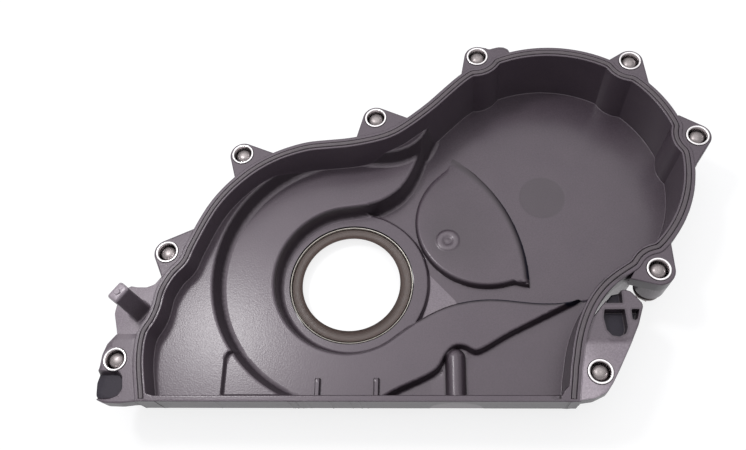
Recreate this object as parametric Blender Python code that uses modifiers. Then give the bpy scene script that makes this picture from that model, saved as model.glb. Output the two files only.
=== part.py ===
# Plastic timing cover with its shaft seal, moulded-in gasket, compression sleeves and captive bolts
# The frame is the crank axis: X along the sump rail, Y up the engine, Z towards the engine block
import bpy
import bmesh
from math import acos, atan2, ceil, degrees, hypot, radians
from mathutils import Matrix, Vector
from mathutils.geometry import convex_hull_2d
import numpy as np

MM = 0.001

# Levels inside the cover, measured down from the engine face of the flange
PLATEAU_DEPTH = 11.3 * MM
POCKET_DEPTH = 13.4 * MM
SPIRAL_DEPTH = 20.0 * MM
FIELD_DEPTH = 24.5 * MM
DOME_DEPTH = 32.0 * MM
COLLAR_RISE = 3.0 * MM
COLLAR_DEPTH = DOME_DEPTH - COLLAR_RISE
WALL = 2.8 * MM

# Rim band and its gasket
FLANGE_WIDTH = 5.2 * MM
GASKET_WIDTH = 1.9 * MM
GASKET_HEIGHT = 2.3 * MM
GASKET_STANDS_PROUD = 0.4 * MM
GASKET_SET_IN = 3.0 * MM
GASKET_END_DROPS = 3
SEAT_GAP = 0.3 * MM

# Sump rail along the bottom edge
RAIL_FACE_Y = -63.5 * MM
RAIL_WIDTH = 2.7 * MM
RAIL_HEIGHT = 14.1 * MM
RAIL_NOTCH_DEPTH = 8.0 * MM
RAIL_NOTCHES = [(-79.6, -77.1), (89.5, 92.5)]

# Dome over the cam wheel, with the angles between which its arc makes the rim
DOME_CENTRE = (96.0 * MM, 49.0 * MM)
DOME_RADIUS = 60.1 * MM
DOME_EDGE_ROUNDING = 1.5 * MM
DOME_ARC_START = -42
DOME_ARC_END = 141

# Spiral terraces round the crank seal
PLATEAU_EDGE_RADIUS = 62.3 * MM
SPIRAL_EDGE_RADIUS = 36.5 * MM
TERRACE_ROUNDING = 1.2 * MM
PLATEAU_ARC = (248, 81)
SPIRAL_ARC = (-45, -272)
EDGE_RUN_ON = 12
RIM_SOFTENING = 10

# Crank seal, and the collar that holds it
SHAFT_RADIUS = 24.0 * MM
SEAL_SECTION = 6.3 * MM
SEAL_RADIUS = SHAFT_RADIUS + SEAL_SECTION
COLLAR_LAND = 7.7 * MM
COLLAR_RADIUS = SEAL_RADIUS + COLLAR_LAND
SEAL_HEIGHT = 5.0 * MM
SEAL_SET_BACK = 0.5 * MM
SEAL_CASE_WALL = 1.0 * MM
SEAL_CASE_FLOOR = 3.3 * MM
SEAL_LIP_THICKNESS = 0.9 * MM
SEAL_LIP_SET_BACK = 0.6 * MM
SEAL_LIP_DROP = 1.6 * MM

# Bolts with their sleeves and lugs
BOLT_PLACES = [(-100.7, -44.8), (-83.7, 6.4), (-52.2, 57.9), (13.2, 76.2), (64.1, 110.6),
               (138.7, 104.2), (164.6, 60.5), (138.6, -5.9), (109.4, -50.9)]
SLEEVE_OUTER_RADIUS = 5.3 * MM
SLEEVE_INNER_RADIUS = 4.3 * MM
SLEEVE_LENGTH = 20.0 * MM
LUG_WALL = 0.8 * MM
CORNER_BOSS_WALL = 1.6 * MM
CORNER_BOLT = 7
LUG_STEP = 0.6 * MM
LUG_THICKNESS = 8.0 * MM
RIM_CLEAR_OF_SLEEVE = 1.95 * MM
BOLT_RADIUS = 3.4 * MM
BOLT_LENGTH = 23.0 * MM
BOLT_SET_BACK = 1.0 * MM
BOLT_TIP_HEIGHT = 1.2 * MM
BOLT_TIP_FLAT = 1.9 * MM
BOLT_TIP_CROWN = 0.3 * MM
BOLT_FLANGE_RADIUS = 6.3 * MM
BOLT_FLANGE_HEIGHT = 1.3 * MM
BOLT_HEX_RADIUS = 4.9 * MM
BOLT_HEX_HEIGHT = 5.0 * MM

# Cushion-shaped pad that clears the crank pulley outside
PULLEY_CLEARANCE_RADIUS = 86.2 * MM
PAD_CIRCLE_CENTRE = (66.6 * MM, 32.6 * MM)
PAD_CIRCLE_RADIUS = 35.4 * MM
PAD_ARC_OVERRUN = 3.7
PAD_CORNER_CUT = 14.0
PAD_RISE = 3.8 * MM
PAD_TILT = 3.3
PAD_ROUNDING = 1.6 * MM
GATE_PLACE = (47.4 * MM, 22.0 * MM)
GATE_RADIUS = 5.7 * MM
GATE_DISH_RADIUS = 4.1 * MM
GATE_PIP_RADIUS = 1.2 * MM
GATE_HEIGHT = 0.7 * MM
DISC_PLACE = (95.3 * MM, 45.8 * MM)
DISC_RADIUS = 11.4 * MM
DISC_DEPTH = 0.4 * MM

# Half-round boss for a sump bolt, and two guide bars on the spiral floor
SUMP_BOSS_X = 49.7 * MM
SUMP_BOSS_RADIUS = 4.7 * MM
SUMP_BOSS_END_Y = -39.0 * MM
GUIDE_BAR_X = 13.5 * MM
GUIDE_BAR_WIDTH = 2.2 * MM
GUIDE_BAR_END_Y = -49.0 * MM
GUIDE_BAR_HEIGHT = 2.0 * MM

# Flat-sided peg on the low plate at the left
PEG_PLACE = (-97.5 * MM, -18.6 * MM)
PEG_WIDTH = 8.9 * MM
PEG_THICKNESS = 6.2 * MM
PEG_TURN = 53.0
PEG_TOP = 15.0 * MM
PEG_ROUNDING = 0.9 * MM
PEG_CORNER_RADIUS = 1.2 * MM
PEG_NUB_RADIUS = 1.3 * MM
PEG_NUB_HEIGHT = 0.6 * MM
LOW_PLATE_DEPTH = 12.0 * MM
LOW_PLATE_THICKNESS = 3.5 * MM

# Cored pockets in the left and right lug plates
LEFT_CORE_DEPTH = 4.0 * MM
RIGHT_CORE_DEPTH = 6.4 * MM
RIGHT_STEP_DEPTH = 2.0 * MM
RIGHT_STEP_Y = -37.6 * MM

# Where outlines of the terraces are trimmed before they cross the outlines beside them
SPIRAL_EDGE_END_X = 102.0 * MM
FIELD_STEP_END_X = 100.0 * MM
UNDERSIDE_END_X = 80.0 * MM
FIELD_START_X = 70.0 * MM
UNDER_FIELD_START_X = 60.0 * MM

# Sampling of the outlines
FINE_STEP = 0.8 * MM
SMOOTH_ANGLE = 30.0
WELD_DISTANCE = 0.001 * MM
OUTLINE_TOLERANCE = 0.09 * MM
FAR = 200.0 * MM

# How far blanks and cutters run past the faces they make, and blocks reach into each other
OVERRUN = 12.0 * MM
OVERLAP = 0.2 * MM

# Facets of the round pieces
LARGE_ROUND = 96
SEAL_ROUND = 64
DISC_ROUND = 48
BORE_ROUND = 32
SMALL_ROUND = 24
BOLT_ROUND = 18
PIP_ROUND = 12

# Outer edge of the rim from the sump rail up the right side to the dome
RIGHT_SIDE = [(99.6, -76.0), (99.8, -63.5), (100.6, -56.0), (101.8, -48.0), (103.4, -40.0),
              (105.8, -32.5), (109.3, -25.3), (113.8, -18.6), (119.0, -13.2), (125.0, -8.8),
              (131.5, -4.8), (138.5, -0.2)]

# Outer edge of the rim from the dome along the top and down the left side to the sump rail
LEFT_SIDE = [(40.0, 85.2), (34.8, 80.6), (29.5, 76.3), (24.5, 72.6), (20.0, 69.9), (15.0, 68.1),
             (10.0, 66.9), (0.0, 65.2), (-10.0, 64.5), (-20.0, 63.7), (-30.0, 61.0),
             (-38.0, 57.7), (-46.0, 53.0), (-53.0, 47.3), (-60.0, 40.0), (-66.0, 31.5),
             (-70.5, 22.3), (-73.8, 14.0), (-77.0, 6.0), (-81.0, -0.5), (-84.5, -6.5),
             (-87.0, -13.0), (-87.6, -19.5), (-89.3, -25.5), (-92.2, -30.5), (-93.0, -37.0),
             (-92.6, -45.0), (-91.4, -52.0), (-89.9, -58.5), (-88.9, -63.5), (-88.4, -76.0)]

# Where the plateau edge leaves its circle and runs out into the dome wall
PLATEAU_TIP = [(21.7, 61.5), (29.4, 63.9), (36.3, 69.2), (41.5, 79.5), (45.5, 96.0), (48.0, 150.0)]

# Where the spiral edge comes off the dome side, and where it runs out into the dome wall
SPIRAL_START = [(150.0, -6.0), (125.0, -8.0), (111.0, -10.5), (100.0, -13.0), (90.0, -13.2),
                (80.0, -12.2), (70.0, -11.0), (60.0, -11.2), (50.0, -13.0), (43.0, -15.5),
                (36.0, -19.0)]
SPIRAL_TIP = [(10.0, 37.7), (20.0, 42.2), (27.0, 49.0), (32.0, 58.5), (35.5, 68.0),
              (39.5, 84.0), (44.0, 150.0)]

# Step down from the spiral floor to the lower right field, round the sump boss
FIELD_STEP = [(12.0, -100.0), (22.0, -56.0), (33.0, -50.8), (42.5, -46.0), (45.0, -40.0),
              (47.5, -35.9), (51.2, -34.4), (55.0, -36.0), (58.5, -37.0), (75.0, -28.6),
              (91.0, -20.6), (107.0, -12.6), (150.0, 9.0)]

# Lugs: where each one runs into the rim, before and after its bolt
LUG_ROOTS = {1: [(-84.5, -7.0), (-72.0, 18.5)], 2: [(-55.0, 44.5), (-35.5, 57.8)],
             3: [(3.5, 64.5), (30.0, 75.5)], 4: [(55.5, 98.5), (84.5, 111.5)],
             5: [(127.0, 104.5), (146.5, 90.0)], 6: [(157.5, 72.5), (161.0, 44.0)],
             7: [(145.5, 7.0), (126.0, -10.0)]}
LEFT_LUG = [(-88.0, -64.6), (-96.2, -64.3), (-103.0, -64.0), (-106.6, -62.6), (-108.4, -60.0),
            (-108.9, -54.5), (-107.4, -48.0), (-107.2, -42.7), (-105.7, -37.7), (-101.9, -32.9),
            (-88.0, -33.0)]
RIGHT_LUG = [(99.0, -63.0), (106.0, -62.0), (111.4, -59.4), (114.1, -55.6), (117.4, -49.9),
             (124.3, -37.0), (127.7, -30.0), (130.4, -22.0), (130.2, -20.6), (126.0, -15.3),
             (123.6, -14.4), (118.5, -15.4), (104.0, -32.0), (99.0, -50.0)]
LEFT_CORE = [(-120.0, -49.8), (-98.6, -49.8), (-96.3, -52.5), (-95.8, -58.0), (-99.0, -62.0),
             (-120.0, -62.0)]
RIGHT_CORE = [(114.0, -32.5), (116.0, -35.0), (119.0, -35.6), (121.8, -34.2), (122.8, -31.5),
              (122.4, -23.4), (113.9, -23.4), (113.2, -27.0)]
RIGHT_CORE_SMALL = [(125.2, -23.4), (128.6, -23.4), (127.4, -27.6), (126.2, -28.4), (125.2, -27.8)]
RIGHT_CORE_TOP = [(115.0, -20.6), (121.9, -20.6), (121.9, -10.0), (115.0, -10.0)]
LOW_PLATE = [(-86.0, -36.0), (-105.5, -36.0), (-107.3, -28.7), (-109.9, -19.7), (-109.2, -13.0),
             (-106.8, -8.0), (-104.0, -6.0), (-100.7, -6.6), (-96.1, -6.7), (-92.4, -5.3),
             (-89.1, -0.8), (-84.0, 2.0)]
POCKET = [(-54.0, -100.0), (-54.0, -41.5), (-53.0, -39.2), (-50.8, -38.2), (-30.0, -38.2),
          (-10.0, -100.0)]
BUMP_PLACE = (76.3 * MM, 112.4 * MM)
BUMP_RADIUS = 4.6 * MM
BUMP_DEPTH = 0.3 * MM
BUMP_THICKNESS = 6.9 * MM

# Feet of the rim beside the notches of the sump rail
RAIL_FEET = [[(-88.0, -57.4), (-84.6, -58.0), (-79.6, -62.2), (-79.6, -70.0), (-88.0, -70.0)],
             [(101.0, -56.0), (96.6, -56.2), (94.6, -57.4), (92.5, -60.4), (92.5, -70.0), (101.0, -70.0)]]

# Buried in the other steps: closes the outline of the lower right field, and of the hollow below it
FIELD_BEHIND = [(200.0, -6.0), (200.0, -200.0), (0.0, -200.0), (10.0, -45.0), (50.0, -28.0)]
UNDER_FIELD_BEHIND = [(200.0, -20.0), (200.0, -200.0), (-5.0, -200.0), (5.0, -45.0), (48.0, -25.0)]


def metres(points):
    return np.array(points, float) * MM


def spline_through(points):
    """Centripetal spline through an open list of points."""
    ends = np.vstack([2 * points[0] - points[1], points, 2 * points[-1] - points[-2]])
    gaps = np.sqrt(np.linalg.norm(np.diff(ends, axis=0), axis=1))
    knots = np.concatenate([[0], np.cumsum(gaps)])
    pieces = []
    for i in range(1, len(ends) - 2):
        p0, p1, p2, p3 = ends[i - 1:i + 3]
        t0, t1, t2, t3 = knots[i - 1:i + 3]
        count = max(2, ceil(np.linalg.norm(p2 - p1) / FINE_STEP))
        t = np.linspace(t1, t2, count, endpoint=False)[:, None]
        a1 = ((t1 - t) * p0 + (t - t0) * p1) / (t1 - t0)
        a2 = ((t2 - t) * p1 + (t - t1) * p2) / (t2 - t1)
        a3 = ((t3 - t) * p2 + (t - t2) * p3) / (t3 - t2)
        b1 = ((t2 - t) * a1 + (t - t0) * a2) / (t2 - t0)
        b2 = ((t3 - t) * a2 + (t - t1) * a3) / (t3 - t1)
        pieces.append(((t2 - t) * b1 + (t - t1) * b2) / (t2 - t1))
    pieces.append(points[-1:])
    return np.vstack(pieces)


def arc(centre, radius, start, end):
    """Points on a circle from one angle to another, in degrees."""
    count = max(3, ceil(abs(radians(end - start)) * radius / (4 * FINE_STEP)))
    angles = np.radians(np.linspace(start, end, count))
    return np.column_stack([centre[0] + radius * np.cos(angles), centre[1] + radius * np.sin(angles)])


def even_steps(points):
    """The same path with points at even distances."""
    lengths = np.concatenate([[0], np.cumsum(np.linalg.norm(np.diff(points, axis=0), axis=1))])
    marks = np.linspace(0, lengths[-1], ceil(lengths[-1] / FINE_STEP))
    return np.column_stack([np.interp(marks, lengths, points[:, i]) for i in (0, 1)])


def keep_clear(points, centre, radius):
    """Pushes a path off a circle, straight away from its centre."""
    away = points - np.array(centre)
    distance = np.linalg.norm(away, axis=1)[:, None]
    return np.where(distance < radius, centre + away * radius / distance, points)


def soften(points, rounds):
    """Averages each inner point with its neighbours."""
    for _ in range(rounds):
        points = points.copy()
        points[1:-1] = (points[:-2] + 2 * points[1:-1] + points[2:]) / 4
    return points


def shift_left(points, distance):
    """Moves an open path sideways, to the left of its direction."""
    along = np.gradient(points, axis=0)
    along /= np.linalg.norm(along, axis=1)[:, None]
    return points + distance * np.column_stack([-along[:, 1], along[:, 0]])


def cut_below(points, level):
    """The part of an open path above a level, ended on that level."""
    inside = np.nonzero(points[:, 1] > level)[0]
    first, last = inside[0], inside[-1]
    start, end = points[first], points[last]
    return np.vstack([[start[0], level], points[first:last + 1], [end[0], level]])


def thin_out(points):
    """Drops the points that lie within the outline tolerance of a straight line."""
    keep = np.zeros(len(points), bool)
    keep[[0, -1]] = True
    spans = [(0, len(points) - 1)]
    while spans:
        first, last = spans.pop()
        if last - first < 2:
            continue
        chord = points[last] - points[first]
        length = max(np.linalg.norm(chord), 1e-9)
        inner = points[first + 1:last] - points[first]
        offsets = np.abs(chord[0] * inner[:, 1] - chord[1] * inner[:, 0]) / length
        worst = int(np.argmax(offsets))
        if offsets[worst] > OUTLINE_TOLERANCE:
            middle = first + 1 + worst
            keep[middle] = True
            spans += [(first, middle), (middle, last)]
    return points[keep]


def rim_path():
    """Outer edge of the rim, an open path from right to left over the top."""
    dome = arc(DOME_CENTRE, DOME_RADIUS + FLANGE_WIDTH, DOME_ARC_START, DOME_ARC_END)
    path = even_steps(spline_through(np.vstack([metres(RIGHT_SIDE), dome[::4], metres(LEFT_SIDE)])))
    for place in BOLT_PLACES:
        centre = (place[0] * MM, place[1] * MM)
        path = keep_clear(path, centre, SLEEVE_OUTER_RADIUS + RIM_CLEAR_OF_SLEEVE)
    return even_steps(soften(path, RIM_SOFTENING))


def plateau_edge():
    """Top edge of the wall between the plateau and the spiral floor, clockwise round the crank."""
    circle = arc((0, 0), PLATEAU_EDGE_RADIUS, *PLATEAU_ARC)
    straight_on = circle[0] + (circle[0] - circle[1]) * EDGE_RUN_ON
    tip = spline_through(np.vstack([circle[-4::3], metres(PLATEAU_TIP)]))
    return even_steps(np.vstack([[straight_on], circle[:-4], tip]))


def spiral_edge():
    """Top edge of the wall between the spiral floor and the seal recess, clockwise."""
    circle = arc((0, 0), SPIRAL_EDGE_RADIUS, *SPIRAL_ARC)
    start = spline_through(np.vstack([metres(SPIRAL_START), circle[:4:3]]))
    tip = spline_through(np.vstack([circle[-4::3], metres(SPIRAL_TIP)]))
    return even_steps(np.vstack([start[:-1], circle[3:-4], tip]))


def field_step():
    """Top edge of the step down to the lower right field, from the rail to the rim."""
    return even_steps(spline_through(metres(FIELD_STEP)))


parts = bpy.data.collections.new("timing_cover")
cutters = bpy.data.collections.new("cutters")
joins = []


def clear_scene():
    for thing in list(bpy.data.objects):
        bpy.data.objects.remove(thing, do_unlink=True)
    bpy.context.scene.collection.children.link(parts)
    bpy.context.scene.collection.children.link(cutters)


def material(name, colour, roughness, metallic):
    made = bpy.data.materials.new(name)
    made.use_nodes = True
    shader = made.node_tree.nodes["Principled BSDF"]
    shader.inputs["Base Color"].default_value = (*colour, 1.0)
    shader.inputs["Roughness"].default_value = roughness
    shader.inputs["Metallic"].default_value = metallic
    made.diffuse_color = (*colour, 1.0)
    return made


def add_object(name, mesh, collection):
    made = bpy.data.objects.new(name, mesh)
    collection.objects.link(made)
    if collection is cutters:
        made.hide_render = True
        made.display_type = "WIRE"
    return made


def evaluated_mesh(drawn, name):
    """The mesh that a curve or a modifier makes, welded and shaded smooth up to the sharp edges."""
    bpy.context.view_layer.update()
    seen = drawn.evaluated_get(bpy.context.evaluated_depsgraph_get())
    mesh = bpy.data.meshes.new_from_object(seen)
    mesh.name = name
    solid = bmesh.new()
    solid.from_mesh(mesh)
    bmesh.ops.remove_doubles(solid, verts=solid.verts, dist=WELD_DISTANCE)
    bmesh.ops.recalc_face_normals(solid, faces=solid.faces)
    solid.to_mesh(mesh)
    solid.free()
    mesh.shade_smooth()
    mesh.set_sharp_from_angle(angle=radians(SMOOTH_ANGLE))
    return mesh


def prism(name, outlines, low, high, rounding=0.0, collection=cutters):
    """Extrudes closed outlines between two heights, with both edges rounded."""
    curve = bpy.data.curves.new(name, "CURVE")
    curve.dimensions = "2D"
    curve.fill_mode = "BOTH"
    curve.extrude = (high - low) / 2 - rounding
    curve.bevel_depth = rounding
    curve.bevel_resolution = 1
    curve.offset = -rounding
    for outline in outlines:
        spline = curve.splines.new("POLY")
        spline.points.add(len(outline) - 1)
        for point, place in zip(spline.points, outline):
            point.co = (place[0], place[1], 0, 1)
        spline.use_cyclic_u = True
    drawn = bpy.data.objects.new(name + "_outline", curve)
    drawn.location = (0, 0, (low + high) / 2)
    cutters.objects.link(drawn)
    made = add_object(name, evaluated_mesh(drawn, name), collection)
    made.matrix_world = drawn.matrix_world
    bpy.data.objects.remove(drawn, do_unlink=True)
    return made


def cylinders(name, places, radius, low, high, segments, collection=cutters):
    """Upright cylinders at several places, in one mesh."""
    solid = bmesh.new()
    for x, y in places:
        centre = Matrix.Translation((x, y, (low + high) / 2))
        bmesh.ops.create_cone(solid, cap_ends=True, segments=segments, radius1=radius,
                              radius2=radius, depth=high - low, matrix=centre)
    mesh = bpy.data.meshes.new(name)
    solid.to_mesh(mesh)
    solid.free()
    return add_object(name, mesh, collection)


def box(name, low, high, collection=cutters):
    solid = bmesh.new()
    bmesh.ops.create_cube(solid, size=1.0)
    size = [b - a for a, b in zip(low, high)]
    middle = [(a + b) / 2 for a, b in zip(low, high)]
    bmesh.ops.transform(solid, matrix=Matrix.LocRotScale(Vector(middle), None, Vector(size)),
                        verts=solid.verts)
    mesh = bpy.data.meshes.new(name)
    solid.to_mesh(mesh)
    solid.free()
    return add_object(name, mesh, collection)


def turned(name, profile, steps, collection=cutters):
    """Turns a closed profile of (radius, height) points round the Z axis."""
    line = bpy.data.meshes.new(name + "_profile")
    points = [(radius, 0, height) for radius, height in profile]
    edges = [(i, (i + 1) % len(points)) for i in range(len(points))]
    line.from_pydata(points, edges, [])
    drawn = add_object(name + "_profile", line, cutters)
    screw = drawn.modifiers.new("turn", "SCREW")
    screw.axis = "Z"
    screw.steps = steps
    screw.render_steps = steps
    screw.use_merge_vertices = True
    screw.merge_threshold = WELD_DISTANCE
    made = add_object(name, evaluated_mesh(drawn, name), collection)
    bpy.data.objects.remove(drawn, do_unlink=True)
    return made


def boolean(target, tool, operation):
    """Notes a Boolean step, which join_all adds once every piece is drawn."""
    joins.append((target, tool, operation))


def join_all():
    for target, tool, operation in joins:
        step = target.modifiers.new(operation.lower() + "_" + tool.name, "BOOLEAN")
        step.operation = operation
        step.solver = "EXACT"
        step.object = tool


def bolt_centres():
    return [(x * MM, y * MM) for x, y in BOLT_PLACES]


def terraces():
    """The solid steps that stand inside the rim: plateau, spiral floor, field and collar."""
    floor = -(DOME_DEPTH + OVERRUN)
    left_far = [(-FAR, FAR), (-FAR, -FAR)]
    plateau = prism("plateau", [np.vstack([thin_out(plateau_edge()), left_far])],
                    floor, -PLATEAU_DEPTH, TERRACE_ROUNDING)
    pocket = prism("pocket", [metres(POCKET)], -POCKET_DEPTH, OVERRUN)
    boolean(plateau, pocket, "DIFFERENCE")
    edge = spiral_edge()
    step = field_step()
    edge = edge[edge[:, 0] < SPIRAL_EDGE_END_X]
    step = step[step[:, 0] < FIELD_STEP_END_X]
    spiral_outline = np.vstack([thin_out(edge), [(-FAR, FAR), (-FAR, -FAR)], thin_out(step)])
    spiral = prism("spiral_floor", [spiral_outline], floor, -SPIRAL_DEPTH, TERRACE_ROUNDING)
    start = thin_out(spiral_edge())
    start = start[(start[:, 0] > FIELD_START_X) & (start[:, 1] < 0)][::-1]
    field = prism("field", [np.vstack([start, metres(FIELD_BEHIND)])], floor, -FIELD_DEPTH)
    collar = cylinders("collar", [(0, 0)], COLLAR_RADIUS, floor, -COLLAR_DEPTH, LARGE_ROUND)
    return [plateau, spiral, field, collar]


def pad_outline():
    """The lens between the pulley clearance circle and the pad circle, with both corners cut off."""
    x, y = PAD_CIRCLE_CENTRE
    apart = hypot(x, y)
    towards = degrees(atan2(y, x))
    big, small = PULLEY_CLEARANCE_RADIUS, PAD_CIRCLE_RADIUS
    right_half = degrees(acos((big ** 2 + apart ** 2 - small ** 2) / (2 * big * apart))) + PAD_ARC_OVERRUN
    left_half = degrees(acos((small ** 2 + apart ** 2 - big ** 2) / (2 * small * apart))) - PAD_CORNER_CUT
    right = arc((0, 0), big, towards - right_half, towards + right_half)
    behind = towards + 180
    return np.vstack([right, arc(PAD_CIRCLE_CENTRE, small, behind - left_half, behind + left_half)])


def eye_pad():
    """Wedge that clears the crank pulley, flush with the dome floor at its top."""
    top = PAD_RISE - DOME_DEPTH
    pad = prism("eye_pad", [pad_outline()], -DOME_DEPTH - OVERRUN, top, PAD_ROUNDING)
    gate = cylinders("gate_boss", [GATE_PLACE], GATE_RADIUS, top - WALL, top + GATE_HEIGHT, BORE_ROUND)
    dish = cylinders("gate_dish", [GATE_PLACE], GATE_DISH_RADIUS, top, top + WALL, BORE_ROUND)
    pip = cylinders("gate_pip", [GATE_PLACE], GATE_PIP_RADIUS, top - WALL, top + GATE_HEIGHT, PIP_ROUND)
    pivot = Matrix.Translation((0, 0, top))
    tilt = pivot @ Matrix.Rotation(radians(-PAD_TILT), 4, "X") @ pivot.inverted()
    for piece in (pad, gate, dish, pip):
        piece.matrix_world = tilt @ piece.matrix_world
    boolean(pad, gate, "UNION")
    boolean(pad, dish, "DIFFERENCE")
    boolean(pad, pip, "UNION")
    return pad


def cover_cavity():
    """The hollow inside the cover, with the terraces left standing in it."""
    rail_inside = RAIL_FACE_Y + RAIL_WIDTH
    inner = cut_below(shift_left(rim_path(), FLANGE_WIDTH), rail_inside)
    cavity = prism("cavity", [thin_out(inner)], -DOME_DEPTH, OVERRUN, TERRACE_ROUNDING)
    for block in terraces():
        boolean(cavity, block, "DIFFERENCE")
    disc_low = -(DOME_DEPTH + DISC_DEPTH)
    disc = cylinders("floor_disc", [DISC_PLACE], DISC_RADIUS, disc_low, -DOME_DEPTH + WALL, DISC_ROUND)
    boolean(cavity, disc, "UNION")
    boolean(cavity, eye_pad(), "DIFFERENCE")
    ledge = box("rail_ledge", (-FAR, -FAR, -FAR), (FAR, rail_inside + WALL, -RAIL_HEIGHT + WALL))
    boolean(cavity, ledge, "DIFFERENCE")
    feet = [metres(foot) for foot in RAIL_FEET]
    boolean(cavity, prism("rail_feet", feet, -RAIL_HEIGHT, 2 * OVERRUN), "DIFFERENCE")
    bar_top = -SPIRAL_DEPTH + GUIDE_BAR_HEIGHT
    for side in (-1, 1):
        low = (side * GUIDE_BAR_X - GUIDE_BAR_WIDTH / 2, -FAR, -FAR)
        high = (side * GUIDE_BAR_X + GUIDE_BAR_WIDTH / 2, GUIDE_BAR_END_Y, bar_top)
        boolean(cavity, box("guide_bar", low, high), "DIFFERENCE")
    boolean(cavity, sump_boss(), "DIFFERENCE")
    return cavity


def sump_boss():
    """Half-round boss that lies on the field, with a round end."""
    solid = bmesh.new()
    length = SUMP_BOSS_END_Y - (RAIL_FACE_Y - WALL)
    middle = Vector((SUMP_BOSS_X, SUMP_BOSS_END_Y - length / 2, -FIELD_DEPTH))
    turn = Matrix.Translation(middle) @ Matrix.Rotation(radians(90), 4, "X")
    bmesh.ops.create_cone(solid, cap_ends=True, segments=SMALL_ROUND, radius1=SUMP_BOSS_RADIUS,
                          radius2=SUMP_BOSS_RADIUS, depth=length, matrix=turn)
    mesh = bpy.data.meshes.new("sump_boss")
    solid.to_mesh(mesh)
    solid.free()
    boss = add_object("sump_boss", mesh, cutters)
    end = bmesh.new()
    place = Matrix.Translation((SUMP_BOSS_X, SUMP_BOSS_END_Y, -FIELD_DEPTH))
    bmesh.ops.create_uvsphere(end, u_segments=SMALL_ROUND, v_segments=PIP_ROUND, radius=SUMP_BOSS_RADIUS,
                              matrix=place @ Matrix.Rotation(radians(90), 4, "X"))
    end_mesh = bpy.data.meshes.new("sump_boss_end")
    end.to_mesh(end_mesh)
    end.free()
    boolean(boss, add_object("sump_boss_end", end_mesh, cutters), "UNION")
    return boss


def boss_radius(number):
    """Boss round a sleeve; the one at the lower corner of the bay is thicker."""
    wall = CORNER_BOSS_WALL if number == CORNER_BOLT else LUG_WALL
    return SLEEVE_OUTER_RADIUS + SEAT_GAP + wall


def lugs():
    """Lug plates round the rim, one closed outline each."""
    outlines = []
    for number, roots in LUG_ROOTS.items():
        ring = arc(bolt_centres()[number], boss_radius(number), 0, 360)[:-1]
        points = np.vstack([ring, metres(roots)])
        outlines.append(points[convex_hull_2d([tuple(point) for point in points])])
    outlines.append(metres(LEFT_LUG))
    outlines.append(metres(RIGHT_LUG))
    plates = prism("lugs", outlines, -LUG_THICKNESS, -LUG_STEP)
    right_x = RIGHT_LUG[0][0] * MM
    top_y = max(y for x, y in RIGHT_LUG) * MM
    step = box("right_step", (right_x, RIGHT_STEP_Y, -RIGHT_STEP_DEPTH), (FAR, top_y + WALL, WALL))
    boolean(plates, step, "DIFFERENCE")
    boolean(plates, prism("left_core", [metres(LEFT_CORE)], -LEFT_CORE_DEPTH, WALL), "DIFFERENCE")
    right_cores = [metres(RIGHT_CORE), metres(RIGHT_CORE_SMALL), metres(RIGHT_CORE_TOP)]
    boolean(plates, prism("right_core", right_cores, -RIGHT_CORE_DEPTH, WALL), "DIFFERENCE")
    return plates


def underside():
    """Hollows below the terraces, so that the cover keeps one wall thickness."""
    deep = -FAR
    under_plateau = np.vstack([thin_out(shift_left(plateau_edge(), WALL)), [(-FAR, FAR), (-FAR, -FAR)]])
    edge = shift_left(spiral_edge(), WALL)
    edge = edge[edge[:, 0] < UNDERSIDE_END_X]
    step = shift_left(field_step(), WALL)
    step = step[step[:, 0] < UNDERSIDE_END_X]
    under_spiral = np.vstack([thin_out(edge), [(-FAR, FAR), (-FAR, -FAR)], thin_out(step)])
    start = shift_left(spiral_edge(), WALL)
    start = thin_out(start[(start[:, 0] > UNDER_FIELD_START_X) & (start[:, 1] < 0)])[::-1]
    under_field = np.vstack([start, metres(UNDER_FIELD_BEHIND)])
    return [
        prism("under_plateau", [under_plateau], deep, -(PLATEAU_DEPTH + WALL)),
        prism("under_spiral", [under_spiral], deep, -(SPIRAL_DEPTH + WALL)),
        prism("under_field", [under_field], deep, -(FIELD_DEPTH + WALL)),
        box("under_rail", (-FAR, -FAR, -FAR), (FAR, RAIL_FACE_Y + RAIL_WIDTH, -RAIL_HEIGHT)),
    ]


def gasket_line():
    """Middle of the gasket groove, ended at the sump rail face."""
    middle = shift_left(rim_path(), GASKET_SET_IN)
    return cut_below(middle, RAIL_FACE_Y + SEAT_GAP)


def band(line, width):
    """Closed outline of a band of even width along an open path."""
    return np.vstack([thin_out(shift_left(line, -width / 2)), thin_out(shift_left(line, width / 2))[::-1]])


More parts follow.
